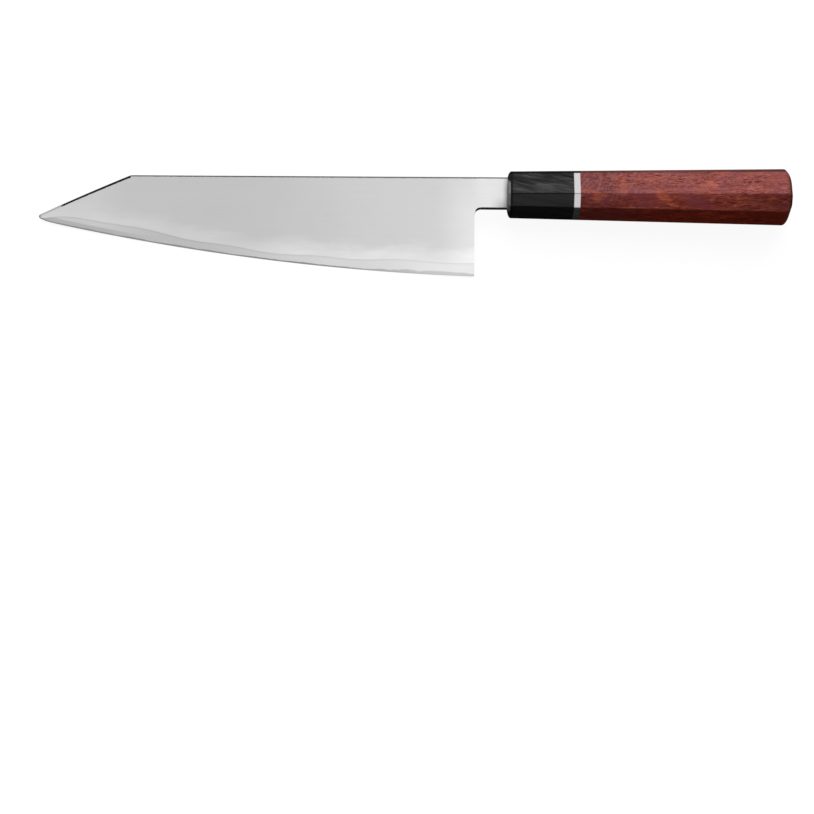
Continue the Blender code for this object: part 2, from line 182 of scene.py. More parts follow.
def edge_y(x):
    share = x / EDGE_LENGTH
    chord = between(SPINE_RISE - EDGE_START_DROP, HEEL_Y, share)
    lift = POINT_LIFT * math.exp(-x / POINT_LIFT_REACH)
    return chord - 4 * EDGE_BELLY * share * (1 - share) + lift


def outline(x):
    """Lowest and highest Y of the blade at x, rounded off at the point."""
    low, high = edge_y(x), top_y(x)
    if x < POINT_ROUNDING:
        shrink = math.sqrt(1 - (1 - x / POINT_ROUNDING) ** 2)
        middle = (low + high) / 2
        return between(middle, low, shrink), between(middle, high, shrink)
    return low, high


def notch_y(x):
    """The level on the blade that becomes the underside of the neck behind the heel."""
    if x <= EDGE_LENGTH:
        low, high = outline(x)
        return between(low, high, (NOTCH_Y - HEEL_Y) / HEEL_HEIGHT)
    across_fillet = min(x - EDGE_LENGTH, NECK_FILLET) - NECK_FILLET
    return NOTCH_Y + math.sqrt(NECK_FILLET**2 - across_fillet**2)


heights = [outline(x)[1] - outline(x)[0] for x in (SLOPE_LENGTH, EDGE_LENGTH)]
print("height at the clipped corner and at the heel, in mm:", [round(h, 1) for h in heights])

# %% [markdown]
# ## The blade's thickness
#
# A smith grinds the faces so that the blade parts food without wedging. Half the thickness at any
# point of the face is the spine's own taper, less a little for every millimetre below the spine,
# rolled over a rounded bevel.

# %% Thickness
SPINE_AT_HEEL = 2.4
SPINE_AT_CORNER = 1.8
SPINE_AT_POINT = 0.7
FACE_TAPER = 0.0030  # mm off each side for every mm below the spine
BEVEL_SHARE = 0.66  # of the blade's height
BEVEL_CURVE = 1.70  # 1 would be a flat bevel
EDGE_BASE = 0.08  # half the thickness that is left at the edge


def spine_half(x):
    share = (x - SLOPE_LENGTH) / (EDGE_LENGTH - SLOPE_LENGTH)
    if share < 0:
        return between(SPINE_AT_POINT, SPINE_AT_CORNER, x / SLOPE_LENGTH) / 2
    return between(SPINE_AT_CORNER, SPINE_AT_HEEL, share) / 2


def ground_half(x, y):
    """Half the thickness at a point of the face: a flat face over a rounded bevel."""
    flat = spine_half(x) - FACE_TAPER * (SPINE_RISE - y)
    low, high = outline(x)
    share = min(1, (y - low) / (BEVEL_SHARE * (high - low)))
    return EDGE_BASE * (1 - share) + flat * (1 - (1 - share) ** BEVEL_CURVE)


half_way_up = ground_half(EDGE_LENGTH, SPINE_RISE - HEEL_HEIGHT / 2)
print("half way up the heel the blade is", round(2 * half_way_up, 2), "mm thick")

# %% [markdown]
# ## The three layers
#
# The core of hard steel shows along the edge, where the softer cladding has been ground away. The
# line between them is never straight, because the layers were forged by hand. Two slow waves are
# enough to draw it, and at the point it runs down into the edge.

# %% Cladding's line
CLAD_LINE = 5.3  # above the edge, on average
CLAD_SWELL = 1.3  # the long wave
CLAD_SWELL_LENGTH = 172.0
CLAD_SWELL_PEAK = 22.0
CLAD_RIPPLE = 0.4  # the short wave
CLAD_RIPPLE_LENGTH = 41.0
CLAD_POINT_REACH = 12.0
CLAD_STEP = 0.06  # how deep under the surface the core's flat face lies at the line


def clad_line_y(x):
    """The wavy lower edge of the cladding, where the core steel comes out."""
    swell = CLAD_SWELL * math.cos(math.tau * (x - CLAD_SWELL_PEAK) / CLAD_SWELL_LENGTH)
    ripple = CLAD_RIPPLE * math.sin(math.tau * x / CLAD_RIPPLE_LENGTH)
    fade = 1 - math.exp(-x / CLAD_POINT_REACH)
    return outline(x)[0] + (CLAD_LINE + swell + ripple) * fade


def core_half(x):
    x = min(x, EDGE_LENGTH)
    return ground_half(x, clad_line_y(x)) - CLAD_STEP


line_heights = [clad_line_y(x) - edge_y(x) for x in range(30, 211, 60)]
print("every 60 mm the line lies above the edge by", [round(y, 1) for y in line_heights], "mm")

# %% [markdown]
# ## Fine sections
#
# A loft is a skin over many cross-sections. The solids have about sixty of them, which is enough to
# cut and to weigh. Here there are more than two hundred, so that the bevel and the
# clipped corner shade without a facet. Each section's corners are small arcs: a maker eases the
# spine and the neck with stones so that they don't bite the hand.

# %% Places for the sections
CLAD_START = 1.2  # where the claddings begin
POINT_ANGLES = range(15, 91, 15)
POINT_STEPS = 4
SLOPE_STEPS = 64
SLOPE_CROWDING = 1.4  # a power, which crowds the sections towards the point
CORNER_REACH = 8 * CORNER_SOFTNESS
CORNER_STEPS = 8
BODY_STEPS = 150


def steps(start, end, count):
    """count places from start, spaced evenly, leaving out end."""
    return [between(start, end, i / count) for i in range(count)]


def blade_places():
    """Places along X, crowded together at the point and at the clipped corner."""
    corner_start, corner_end = SLOPE_LENGTH - CORNER_REACH, SLOPE_LENGTH + CORNER_REACH
    places = [POINT_ROUNDING * (1 - math.cos(math.radians(a))) for a in POINT_ANGLES]
    places += steps(POINT_ROUNDING, CLAD_START, POINT_STEPS)[1:]
    crowded = [(i / SLOPE_STEPS) ** SLOPE_CROWDING for i in range(SLOPE_STEPS)]
    places += [between(CLAD_START, corner_start, share) for share in crowded]
    places += steps(corner_start, corner_end, CORNER_STEPS)
    places += steps(corner_end, EDGE_LENGTH, BODY_STEPS)
    return places + [EDGE_LENGTH]


print(len(blade_places()), "sections along the edge")

# %% Sections of the cladding
HEEL_LEAN = 0.4
SPINE_EASE = 0.25  # the radius of an eased corner
SLOPE_EASE = 0.40
NECK_EASE = 0.40
EASE_ANGLES = range(0, 91, 18)
WELD = 0.02  # a hairline gap in the place of the forge weld
UPPER_ROWS = 8
LOWER_ROWS = 26


def rounded(corner_y, corner_z, ease, up):
    """Points round an eased corner, from the flat along Y to the face. up is 1 or -1."""
    points = []
    for angle in EASE_ANGLES:
        turn = math.radians(angle)
        y = corner_y - up * ease * (1 - math.cos(turn))
        points.append((y, corner_z - ease * (1 - math.sin(turn))))
    return points


def top_ease(x):
    """How much of the spine's corner is taken off: more on the slope, none at the point."""
    wide = SLOPE_EASE if x < SLOPE_LENGTH else SPINE_EASE
    room = ground_half(x, outline(x)[1]) - core_half(x) - WELD
    return min(wide, room / 2)


def lean(x, y, z):
    """A blade point, moved along X so that the heel leans back towards its corner."""
    if x == EDGE_LENGTH and y < NOTCH_Y:
        x += HEEL_LEAN * (NOTCH_Y - y) / (NOTCH_Y - HEEL_Y)
    return Vector((x, y, z))


def clad_section(x, side):
    """The cladding's section. The points that go on along the neck come first."""
    inner = core_half(x) + WELD
    high, line, notch, ease = outline(x)[1], clad_line_y(x), notch_y(x), top_ease(x)
    kept = [(notch, inner), (high, inner)]
    kept += rounded(high, ground_half(x, high - ease), ease, 1)
    rows = steps(high - ease, notch + NECK_EASE, UPPER_ROWS)[1:]
    rows += [y for y, _ in reversed(rounded(notch, 0, NECK_EASE, -1))]
    kept += [(y, ground_half(x, y)) for y in rows]
    lower = [(y, ground_half(x, y)) for y in steps(notch, line, LOWER_ROWS)[1:]]
    lower += [(line, ground_half(x, line)), (line, inner)]
    return [lean(x, y, side * z) for y, z in kept + lower], len(kept)


# %% Sections of the core
CORE_ROWS = 12
SHARPENED_HEIGHT = 0.35


def core_section(x):
    """The core's section: flat where the cladding covers it, ground below that."""
    half = core_half(x)
    low, high = outline(x)
    line, notch = clad_line_y(x), notch_y(x)
    sharpened = low + min(SHARPENED_HEIGHT, (line - low) / 4)
    out = line - min(CLAD_STEP, (line - sharpened) / 4)
    rows = [(y, ground_half(x, y)) for y in steps(out, sharpened, CORE_ROWS)]
    rows = [(line, half)] + rows + [(sharpened, ground_half(x, sharpened))]
    kept = [(notch, half), (high, half), (high, -half), (notch, -half)]
    lower = [(y, -z) for y, z in rows] + [(low, 0)] + list(reversed(rows))
    return [lean(x, y, z) for y, z in kept + lower], len(kept)


# %% [markdown]
# Behind the heel all three layers go on through the neck, which is what the ferrule closes round,
# and down to the thinner tang inside the handle. The neck leaves the blade's taper smoothly, so
# that no crease shows where one ends and the other begins.

# %% Sections of the neck and the tang
NECK_LENGTH = 15.4
NECK_STEPS = 12
NECK_BLEND = 9.0  # how far behind the heel the neck has its own thickness
FILLET_ANGLES = range(6, 91, 6)
MOUTH_DEPTH = 2.5  # of the ferrule's mouth, which takes in the whole neck
FIT = 0.25  # the clearance on each side of a piece inside the handle
SHOULDER_LENGTH = 0.3
TANG_LENGTH = 95.0
TANG_HEIGHT = 8.6
TANG_END_HEIGHT = 5.2
TANG_THICKNESS = 2.2
TANG_END_THICKNESS = 1.8
FERRULE_X = EDGE_LENGTH + NECK_LENGTH
TANG_X = FERRULE_X + MOUTH_DEPTH - FIT


def shank_places():
    """x, low, high and half thickness along the neck and the tang."""
    face = spine_half(EDGE_LENGTH) - FACE_TAPER * NECK_HEIGHT / 2
    for angle in FILLET_ANGLES:
        x = EDGE_LENGTH + NECK_FILLET * (1 - math.cos(math.radians(angle)))
        yield x, notch_y(x), SPINE_RISE, face
    shoulder = TANG_X - SHOULDER_LENGTH
    for x in steps(EDGE_LENGTH + NECK_FILLET, shoulder, NECK_STEPS)[1:] + [shoulder]:
        yield x, NECK_Y, SPINE_RISE, face
    yield TANG_X, -TANG_HEIGHT / 2, TANG_HEIGHT / 2, TANG_THICKNESS / 2
    end = FERRULE_X + TANG_LENGTH
    yield end, -TANG_END_HEIGHT / 2, TANG_END_HEIGHT / 2, TANG_END_THICKNESS / 2


def core_shank(x, low, high, _):
    half = core_half(x)
    corners = [(low, half), (high, half), (high, -half), (low, -half)]
    return [Vector((x, y, z)) for y, z in corners]


def neck_half(x, y, outer):
    """Half the neck's thickness, which leaves the blade's taper without a crease."""
    share = min(1, (x - EDGE_LENGTH) / NECK_BLEND)
    return between(ground_half(EDGE_LENGTH, y), outer, share * share * (3 - 2 * share))


def clad_shank(x, low, high, outer, side):
    """A section of the neck or tang, whose rows match those kept from the blade."""
    inner = core_half(x) + WELD
    points = [(low, inner), (high, inner)]
    points += rounded(high, neck_half(x, high - SPINE_EASE, outer), SPINE_EASE, 1)
    rows = steps(high - SPINE_EASE, low + NECK_EASE, UPPER_ROWS)[1:]
    points += [(y, neck_half(x, y, outer)) for y in rows]
    underside = rounded(low, neck_half(x, low + NECK_EASE, outer), NECK_EASE, -1)
    points += list(reversed(underside))
    return [Vector((x, y, side * z)) for y, z in points]


print(len(list(shank_places())), "sections along the neck and the tang")

# %% [markdown]
# ## Skinning the sections
#
# Neighbouring sections are joined by quads. Behind the heel only the upper part of the section goes
# on, as the neck, and one face closes the heel's rear.


# %% Loft
def bridge(bm, first, second):
    for i in range(len(first)):
        j = (i + 1) % len(first)
        bm.faces.new((first[i], first[j], second[j], second[i]))


def new_rings(bm, rings):
    rows = [[bm.verts.new(point) for point in ring] for ring in rings]
    for first, second in zip(rows, rows[1:]):
        bridge(bm, first, second)
    return rows


def kept_as_mesh(bm, name):
    mesh = bpy.data.meshes.new(name)
    bm.to_mesh(mesh)
    bm.free()
    return mesh


def blade_loft(name, sections, shank_rings):
    """A skin over the blade that steps up at the heel and goes on over neck and tang."""
    kept = sections[0][1]
    bm = bmesh.new()
    blade = new_rings(bm, [ring for ring, _ in sections])
    shank = new_rings(bm, shank_rings)
    heel = blade[-1]
    bridge(bm, heel[:kept], shank[0])
    bm.faces.new([heel[0]] + heel[kept - 1 :])
    bm.faces.new(reversed(blade[0]))
    bm.faces.new(shank[-1])
    bmesh.ops.recalc_face_normals(bm, faces=bm.faces)
    return kept_as_mesh(bm, name)


# %% [markdown]
# ## What the steel's finish follows
#
# A finish isn't the same all over. The clipped slope, the spine and the underside of the neck are
# dark, partly from the forge and partly as painted shade, polishing clouds the steel just above the
# cladding's line, and stones cut the last of the edge. All of that follows the blade's shape, so
# each point of the mesh carries its distance from the edge, from the cladding's line, from the top,
# and from the neck's underside. The materials turn those distances into crisp borders.

# %% Distances on the mesh
FAR = 1000.0  # for a point that isn't on the neck


def distances_at(x, y):
    on_blade = min(x, EDGE_LENGTH)
    low, high = outline(on_blade)
    under_neck = y - notch_y(x) if x > EDGE_LENGTH else FAR
    return y - low, y - clad_line_y(on_blade), high - y, under_neck


def number_blade(mesh):
    names = ("above_edge", "above_line", "below_top", "above_neck")
    layers = [mesh.attributes.new(name, "FLOAT", "POINT").data for name in names]
    for vertex in mesh.vertices:
        for layer, value in zip(layers, distances_at(vertex.co.x, vertex.co.y)):
            layer[vertex.index].value = value


# %% [markdown]
# ## Putting a piece on the table
#
# A mesh made on the knife's axes is laid on the table by the axes found above and shrunk from
# millimetres to metres, so the object itself stays at the origin. Then it takes over from a solid:
# it rides on the same body and replaces the same node, which is hidden, with a material of its own.

# %% Placing
SMOOTH_ANGLE = 30  # degrees: a sharper edge than this stays an edge


def place(mesh, node, material):
    """Makes a finished piece of a mesh on the knife's axes, in the place of a CAD node."""
    mesh.transform(at_rest @ Matrix.Scale(MM, 4))
    mesh.materials.clear()
    mesh.materials.append(material)
    mesh.shade_smooth()
    mesh.set_sharp_from_angle(angle=math.radians(SMOOTH_ANGLE))
    piece = add_object("fine_" + node, mesh)
    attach(piece, "root")
    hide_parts(node)
    nodes = len(material.node_tree.nodes)
    print(piece.name, "has", len(mesh.polygons), "faces, and a finish of", nodes, "nodes")


# %% [markdown]
# ## Building node trees
#
# Every material below is a tree of nodes, and every node's output is a wire that other nodes can
# take. A small class holds one wire, and teaches Python's own signs for sums, products and
# comparisons to add Math nodes. A mask then reads like the formula that it is, and a helper made
# for numbers, such as between, works on wires too.


# %% Wires
class Wire:
    """One output of a node. Sums, products and comparisons of wires are Math nodes."""

    def __init__(self, socket):
        self.socket = socket
        self.tree = socket.id_data

    def __add__(self, other):
        return maths("ADD", self, other)

    def __sub__(self, other):
        return maths("SUBTRACT", self, other)

    def __rsub__(self, other):
        return maths("SUBTRACT", other, self)

    def __mul__(self, other):
        return maths("MULTIPLY", self, other)

    def __truediv__(self, other):
        return maths("DIVIDE", self, other)

    def __abs__(self):
        return maths("ABSOLUTE", self)

    def __gt__(self, other):
        return maths("GREATER_THAN", self, other)

    def __lt__(self, other):
        return maths("LESS_THAN", self, other)

    __radd__ = __add__
    __rmul__ = __mul__


# %% Adding nodes
def connect(source, socket):
    """Links a wire to a node's input, or sets the input to a plain value."""
    if isinstance(source, Wire):
        source.tree.links.new(source.socket, socket)
    else:
        socket.default_value = source


def add(tree, kind, inputs=None, output=0, **settings):
    """The wire of one output of a new node. Settings are the node's own properties."""
    node = tree.nodes.new(kind)
    for name, value in settings.items():
        setattr(node, name, value)
    for name, source in (inputs or {}).items():
        connect(source, node.inputs[name])
    return Wire(node.outputs[output])


def maths(operation, *values, kind="ShaderNodeMath"):
    """A Math node over one, two or three values, at least one of them a wire."""
    tree = next(value.tree for value in values if isinstance(value, Wire))
    return add(tree, kind, dict(enumerate(values)), operation=operation)


def larger(first, second):
    return maths("MAXIMUM", first, second)


def vector_maths(operation, *values):
    return maths(operation, *values, kind="ShaderNodeVectorMath")


# %% Patterns and colours
def spread(value, low, high, to_low=0.0, to_high=1.0, smooth=True):
    """value, spread from low..high onto to_low..to_high, and held at both ends."""
    inputs = {0: value, 1: low, 2: high, 3: to_low, 4: to_high}
    kind = "SMOOTHSTEP" if smooth else "LINEAR"
    return add(value.tree, "ShaderNodeMapRange", inputs, interpolation_type=kind)


def varied(noise, low, high, smooth=True):
    """Noise, most of which lies between 0.3 and 0.7, spread onto low..high."""
    return spread(noise, 0.3, 0.7, low, high, smooth)


def blended(share, first, second, how="MIX"):
    """Two colours, mixed by share."""
    inputs = {0: share, 6: first, 7: second}
    settings = {"data_type": "RGBA", "blend_type": how, "clamp_result": False}
    return add(share.tree, "ShaderNodeMix", inputs, 2, **settings)


def colours(value, stops):
    """A Color Ramp with a colour at each place."""
    ramp = add(value.tree, "ShaderNodeValToRGB", {0: value})
    elements = ramp.socket.node.color_ramp.elements
    while len(elements) < len(stops):
        elements.new(1)
    for element, (position, colour) in zip(elements, stops):
        element.position = position
        element.color = (*colour, 1)
    return ramp


def scaled(vector, factor):
    """A colour or a vector times a number."""
    inputs = {0: vector, "Scale": factor}
    return add(vector.tree, "ShaderNodeVectorMath", inputs, operation="SCALE")


def grey(value):
    """A neutral grey, a little cool."""
    parts = {"Red": value, "Green": value, "Blue": value * 1.008}
    return add(value.tree, "ShaderNodeCombineColor", parts)


def axis(vector, name):
    return add(vector.tree, "ShaderNodeSeparateXYZ", {0: vector}, name)


def carried(near, name):
    """A number that the mesh carries, read in the tree of the wire near."""
    return add(near.tree, "ShaderNodeAttribute", output="Fac", attribute_name=name)


# %% [markdown]
# ## Shared effects
#
# Three effects are used by several materials, so each is a node group that is built once. The first
# gives a place on the knife's own axes in millimetres, from Object coordinates, with one Mapping
# node that undoes the turn at rest. The second is a noise whose cells have a real size,
# longer one way than another, which makes grain, streaks and polishing lines. The third
# is the soft blotching that handling leaves on every finish.

# %% Trees with named inputs
SOCKETS = {
    float: "NodeSocketFloat",
    int: "NodeSocketInt",
    tuple: "NodeSocketVector",
    type(None): "NodeSocketMaterial",
}


def new_tree(kind, name, inputs, output, output_type):
    """A new tree's input wires by name, and the socket of its one output."""
    tree = bpy.data.node_groups.new(name, kind)
    for title, value in inputs.items():
        made = tree.interface.new_socket(title, in_out="INPUT", socket_type=SOCKETS[type(value)])
        if value is not None:
            made.default_value = value
    tree.interface.new_socket(output, in_out="OUTPUT", socket_type=output_type)
    given = {socket.name: Wire(socket) for socket in tree.nodes.new("NodeGroupInput").outputs}
    return given, tree.nodes.new("NodeGroupOutput").inputs[output]


def new_group(name, inputs, output, output_type="NodeSocketFloat"):
    return new_tree("ShaderNodeTree", name, inputs, output, output_type)


def use(tree, group, inputs=None):
    """The wire that a node group puts out."""
    return add(tree, "ShaderNodeGroup", inputs, node_tree=bpy.data.node_groups[group])


# %% Node groups
def noise(place, output=0, **settings):
    inputs = {"Vector": place, "Scale": 1.0, **settings}
    return add(place.tree, "ShaderNodeTexNoise", inputs, output)


def make_knife_axes_group():
    _, place_out = new_group("knife_axes", {}, "Place", "NodeSocketVector")
    where = add(place_out.id_data, "ShaderNodeTexCoord", output="Object")
    turn = {"Vector": where, "Location": at_rest.translation, "Rotation": at_rest.to_euler()}
    turn["Scale"] = (MM, MM, MM)
    connect(add(where.tree, "ShaderNodeMapping", turn, vector_type="TEXTURE"), place_out)


def make_grain_group():
    """Noise with long cells. Bend moves the pattern about, so that the grain wanders."""
    inputs = {"Place": (0.0, 0.0, 0.0), "Cell": (10.0, 1.0, 1.0), "Bend": 0.0, "Bend Cell": 20.0}
    inputs |= {"Detail": 2.0, "Shift": 0.0}
    given, value_out = new_group("grain", inputs, "Value")
    slow = vector_maths("DIVIDE", given["Place"], given["Bend Cell"])
    wander = vector_maths("SUBTRACT", noise(slow, "Color", Detail=1.0), (0.5, 0.5, 0.5))
    bent = vector_maths("ADD", given["Place"], scaled(wander, given["Bend"]))
    cells = vector_maths("DIVIDE", bent, given["Cell"])
    apart = {"X": given["Shift"], "Y": given["Shift"]}
    cells = vector_maths("ADD", cells, add(cells.tree, "ShaderNodeCombineXYZ", apart))
    connect(noise(cells, Detail=given["Detail"], Roughness=0.55), value_out)


def make_handling_group():
    """Soft blotches where fingers and cloths have been, as a number round 0.5."""
    inputs = {"Place": (0.0, 0.0, 0.0), "Size": 12.0}
    given, blotch_out = new_group("handling", inputs, "Blotch")
    cells = vector_maths("DIVIDE", given["Place"], given["Size"])
    connect(noise(cells, Detail=3.0, Roughness=0.6, Distortion=0.4), blotch_out)


make_knife_axes_group()
make_grain_group()
make_handling_group()
print("node groups:", sorted(group.name for group in bpy.data.node_groups))

# %% Shortcuts to the groups
MICRON = 1e-6


def grain(where, cell, bend=0.0, bend_cell=20.0, detail=2.0, shift=0.0):
    """Noise with cells of this size along X, Y and Z."""
    inputs = {"Place": where, "Cell": cell, "Bend": bend, "Bend Cell": bend_cell}
    return use(where.tree, "grain", inputs | {"Detail": detail, "Shift": shift})


def handling(where, size):
    return use(where.tree, "handling", {"Place": where, "Size": size})


def turned(where, angle):
    """Places turned about Z, for a pattern that runs at a slant."""
    turn = {"Vector": where, "Rotation": (0.0, 0.0, angle)}
    return add(where.tree, "ShaderNodeMapping", turn)


def new_material(name):
    """A material with its shader and the place on the knife."""
    material = bpy.data.materials.new(name)
    material.use_nodes = True
    tree = material.node_tree
    return material, tree.nodes["Principled BSDF"], use(tree, "knife_axes")


def relief(height):
    """The normal of a surface with this relief in microns, from a Bump node."""
    inputs = {"Height": height, "Distance": MICRON, "Strength": 1.0}
    return add(height.tree, "ShaderNodeBump", inputs)


def feed(shader, **sources):
    """Fills the shader's inputs, which are named with _ for a space."""
    for name, source in sources.items():
        connect(source, shader.inputs[name.replace("_", " ")])


# %% [markdown]
# ## Steel
#
# Both steels are rubbed along the blade with ever finer paper, which leaves hair-thin lines. A
# nearly black, rough and hardly metallic layer covers the clipped slope and the neck's underside,
# and thins out along the spine. It is partly what is left of the forge and partly painted shade on
# these borders. A mask for it is built from the distances on the mesh, with a ragged border from a
# fine noise.

# %% Forge skin and painted shade
FORGE_AND_SHADE_BLACK = (0.010, 0.010, 0.011, 1)
SKIN_AND_SHADE_START = 10.5  # the slope is bright from the point to here
# the skin's reach below is also the reach of the painted shade on these borders
SLOPE_SKIN_AND_SHADE = 0.85  # how far the skin reaches in from each border
SPINE_SKIN_AND_SHADE = 0.42
NECK_SKIN_AND_SHADE = 1.25
SPINE_COVER = 0.92
SPINE_COVER_AT_HEEL = 0.82
NECK_COVER = 0.45


def forge_skin_and_shade(where):
    """How much forge skin and painted shade cover the steel, from 0 to 1."""
    x = axis(where, "X")
    ragged = varied(grain(where, (1.2, 0.3, 0.5), detail=3.0), -0.10, 0.10, smooth=False)
    top = carried(where, "below_top") + ragged
    neck = carried(where, "above_neck") + ragged
    slope = spread(x, SLOPE_LENGTH - 0.2, SLOPE_LENGTH + 0.6, 1.0, 0.0)
    slope = slope * spread(x, SKIN_AND_SHADE_START, SKIN_AND_SHADE_START + 1.5, 0.25, 1.0)
    slope = slope * spread(top, SLOPE_SKIN_AND_SHADE - 0.10, SLOPE_SKIN_AND_SHADE + 0.15, 1.0, 0.0)
    spine = spread(x, SLOPE_LENGTH, EDGE_LENGTH, SPINE_COVER, SPINE_COVER_AT_HEEL)
    spine = between(spine, NECK_COVER, spread(x, EDGE_LENGTH, EDGE_LENGTH + 2))
    spine = spine * (x > SLOPE_LENGTH - 0.3) * spread(top, 0.0, SPINE_SKIN_AND_SHADE, 1.0, 0.0)
    under = spread(neck, NECK_SKIN_AND_SHADE - 0.15, NECK_SKIN_AND_SHADE + 0.15, 1.0, 0.0)
    under = under * spread(x, EDGE_LENGTH, EDGE_LENGTH + 0.8)
    return larger(larger(slope, spine), under)


# %% Steel's finish
def polishing_lines(where):
    """Hair-thin lines along the blade, in two sizes."""
    coarse = grain(where, (60, 0.35, 5), 0.4, 40, 1.0)
    fine = grain(where, (25, 0.09, 5), 0.2, 30, 1.0)
    return (coarse + fine) * 0.5


def dress_steel(shader, where, tone, roughness):
    """Adds forge skin and painted shade, polishing lines and handling to a steel of this grey."""
    # covered holds the forge skin and the painted shade together
    covered = forge_skin_and_shade(where)
    lines = polishing_lines(where)
    blotch = handling(where, 18)
    tone = tone * varied(lines, 0.97, 1.03, smooth=False)
    tone = tone * varied(blotch, 0.985, 1.015, smooth=False)
    shine = varied(blotch, roughness - 0.03, roughness + 0.04) + varied(lines, -0.03, 0.03)
    pits = grain(where, (0.5, 0.5, 0.5), detail=3.0) * covered * 30
    feed(
        shader,
        Base_Color=blended(covered, grey(tone), FORGE_AND_SHADE_BLACK),
        Roughness=covered * 0.25 + shine,
        Metallic=spread(covered, 0.3, 1.0, 1.0, 0.3),
        Specular_IOR_Level=0.12,
        Normal=relief(lines * 1.2 + pits),
    )


# %% [markdown]
# ## Cladding
#
# The cladding is soft stainless steel. Its satin grey is even over most of the face and brighter
# at the point. Towards the back, and most of all low down at the heel, it is painted brighter,
# which is painted light. Over the last centimetre above the cladding's line the stones blend the
# grind into the face, which leaves a paler, cloudy band. Beside the ferrule the neck gets a painted
# shadow, darkest low down.

# %% Cladding steel
SATIN = 0.545
SATIN_AT_POINT = 0.055  # added to the grey
# painted light: the grey brightens towards the back and the heel
SATIN_LIGHT_AT_BACK = 0.100
SATIN_LIGHT_AT_HEEL = 0.150
CLOUD = 0.075
CLOUD_AT_BACK = 0.075
CLOUD_REACH = 10.0
SATIN_ROUGHNESS = 0.33


def satin_tone(x):
    """The cladding's grey along the blade, with painted light towards the back and the heel."""
    tone = spread(x, 15, 50, SATIN + SATIN_AT_POINT, SATIN)
    tone = tone + spread(x, 90, 190, 0.0, SATIN_LIGHT_AT_BACK)
    low_down = spread(carried(x, "below_top"), 0.0, 22, 0.55, 1.0)
    low_down = larger(low_down, spread(x, 198, 216))
    return spread(x, 188, 212, 0.0, SATIN_LIGHT_AT_HEEL) * low_down + tone


def painted_ferrule_shadow(x):
    """A painted shadow of the ferrule on the neck, darkest by the ferrule and low down."""
    left = FERRULE_X - x
    low_down = spread(carried(x, "above_neck"), 0.0, 8, 1.0, 0.0)
    corner = between(1.0, spread(left, 0.0, 9, 0.5, 1.0), low_down)
    return corner * spread(left, 0.0, 2.4, 0.7, 1.0)


def make_cladding_steel():
    material, shader, where = new_material("satin_cladding")
    x = axis(where, "X")
    above = carried(where, "above_line")
    clouds = grain(where, (22, 6, 6), 5, 18, 3.0)
    band = above / varied(clouds, 0.8 * CLOUD_REACH, 1.25 * CLOUD_REACH)
    strength = spread(x, 90, 130, CLOUD, CLOUD + CLOUD_AT_BACK)
    strength = strength * spread(x, 15, 45, 0.45, 1.0) * varied(clouds, 0.8, 1.1)
    tone = spread(band, 0.05, 1.0, 1.0, 0.0) * strength + satin_tone(x)
    seam = spread(above, 0.0, 0.30, 0.90, 1.0)
    dress_steel(shader, where, tone * painted_ferrule_shadow(x) * seam, SATIN_ROUGHNESS)
    return material


# %% [markdown]
# ## Core
#
# Below the line the hard core shows. It is dull near the point, with soft bands along the edge
# where the grind changes hands, and it is painted brighter towards the heel, which is painted
# light.
# A soft painted shadow lies just under the cladding's line. The sharpened edge itself is cut at a
# steeper angle with a coarser stone, so it looks darker, and it is widest at the heel.

# %% Core steel
CORE = 0.505
# painted light: the core brightens towards the middle and the heel
CORE_LIGHT_AT_MIDDLE = 0.165  # added to the grey
CORE_LIGHT_AT_HEEL = 0.165
POINT_DULL = 0.445
POINT_BRIGHT = 0.575
STONE = 0.270
STONE_AT_HEEL = 0.600
STONE_WIDTH = 0.85
STONE_WIDTH_AT_HEEL = 1.65
CORE_ROUGHNESS = 0.30


def core_tone(x, above):
    """The core's grey along the blade, with its bands near the point and painted light towards the
    heel.
    """
    tone = spread(x, 70, 150, CORE, CORE + CORE_LIGHT_AT_MIDDLE)
    tone = tone + spread(x, 150, 212, 0.0, CORE_LIGHT_AT_HEEL)
    bands = spread(above, 2.3, 3.3, POINT_DULL, POINT_BRIGHT)
    return between(tone, bands, spread(x, 28, 60, 1.0, 0.0))


def make_core_steel():
    material, shader, where = new_material("core_steel")
    x = axis(where, "X")
    above = carried(where, "above_edge")
    shadow = spread(carried(where, "above_line"), -1.1, -0.2, 1.0, 0.94)
    tone = core_tone(x, above) * shadow
    width = spread(x, 152, 182, STONE_WIDTH, STONE_WIDTH_AT_HEEL)
    width = width * varied(grain(where, (9, 9, 9), 1, 12, 3.0), 0.75, 1.25)
    stone = spread(above / width, 0.75, 1.15, 1.0, 0.0)
    stone_tone = spread(x, 120, 205, STONE, STONE_AT_HEEL) * spread(above, 0.15, 0.50, 0.80, 1.0)
    dress_steel(shader, where, between(tone, stone_tone, stone), CORE_ROUGHNESS)
    return material


# %% Blade pieces
def make_blade():
    places = blade_places()
    hard, soft = make_core_steel(), make_cladding_steel()
    shank = [core_shank(*row) for row in shank_places()]
    core = blade_loft("core", [core_section(x) for x in places], shank)
    number_blade(core)
    place(core, "blade_core", hard)
    covered = [x for x in places if x >= CLAD_START]
    for node, side in (("cladding_left", 1), ("cladding_right", -1)):
        shank = [clad_shank(*row, side) for row in shank_places()]
        skin = blade_loft(node, [clad_section(x, side) for x in covered], shank)
        number_blade(skin)
        place(skin, node, soft)


make_blade()

# %% [markdown]
# ## The handle as one rule
#
# Ferrule, spacer and body are three slices of one shape: an eight-sided bar that swells
# from the ferrule to the butt. A Geometry Nodes tree holds that rule once. It rounds the corners of
# two rectangles twice, which gives an octagon with eased ridges, and reads their points into a grid
# that is bent into a tube. Its first rings draw a rounded front, and its last rings a domed butt.
# With both depths at zero the same rings lie flat and close the ends.

# %% Handle sizes
SPACER_LENGTH = 3.1
BODY_LENGTH = 102.0
FRONT_ROUND = 1.9  # how deep the ferrule's rounded front is
BUTT_DOME = 4.7  # and the domed butt
SEAM = 0.05  # between neighbouring slices
BODY_X = SPACER_X + SPACER_LENGTH
BUTT_X = BODY_X + BODY_LENGTH

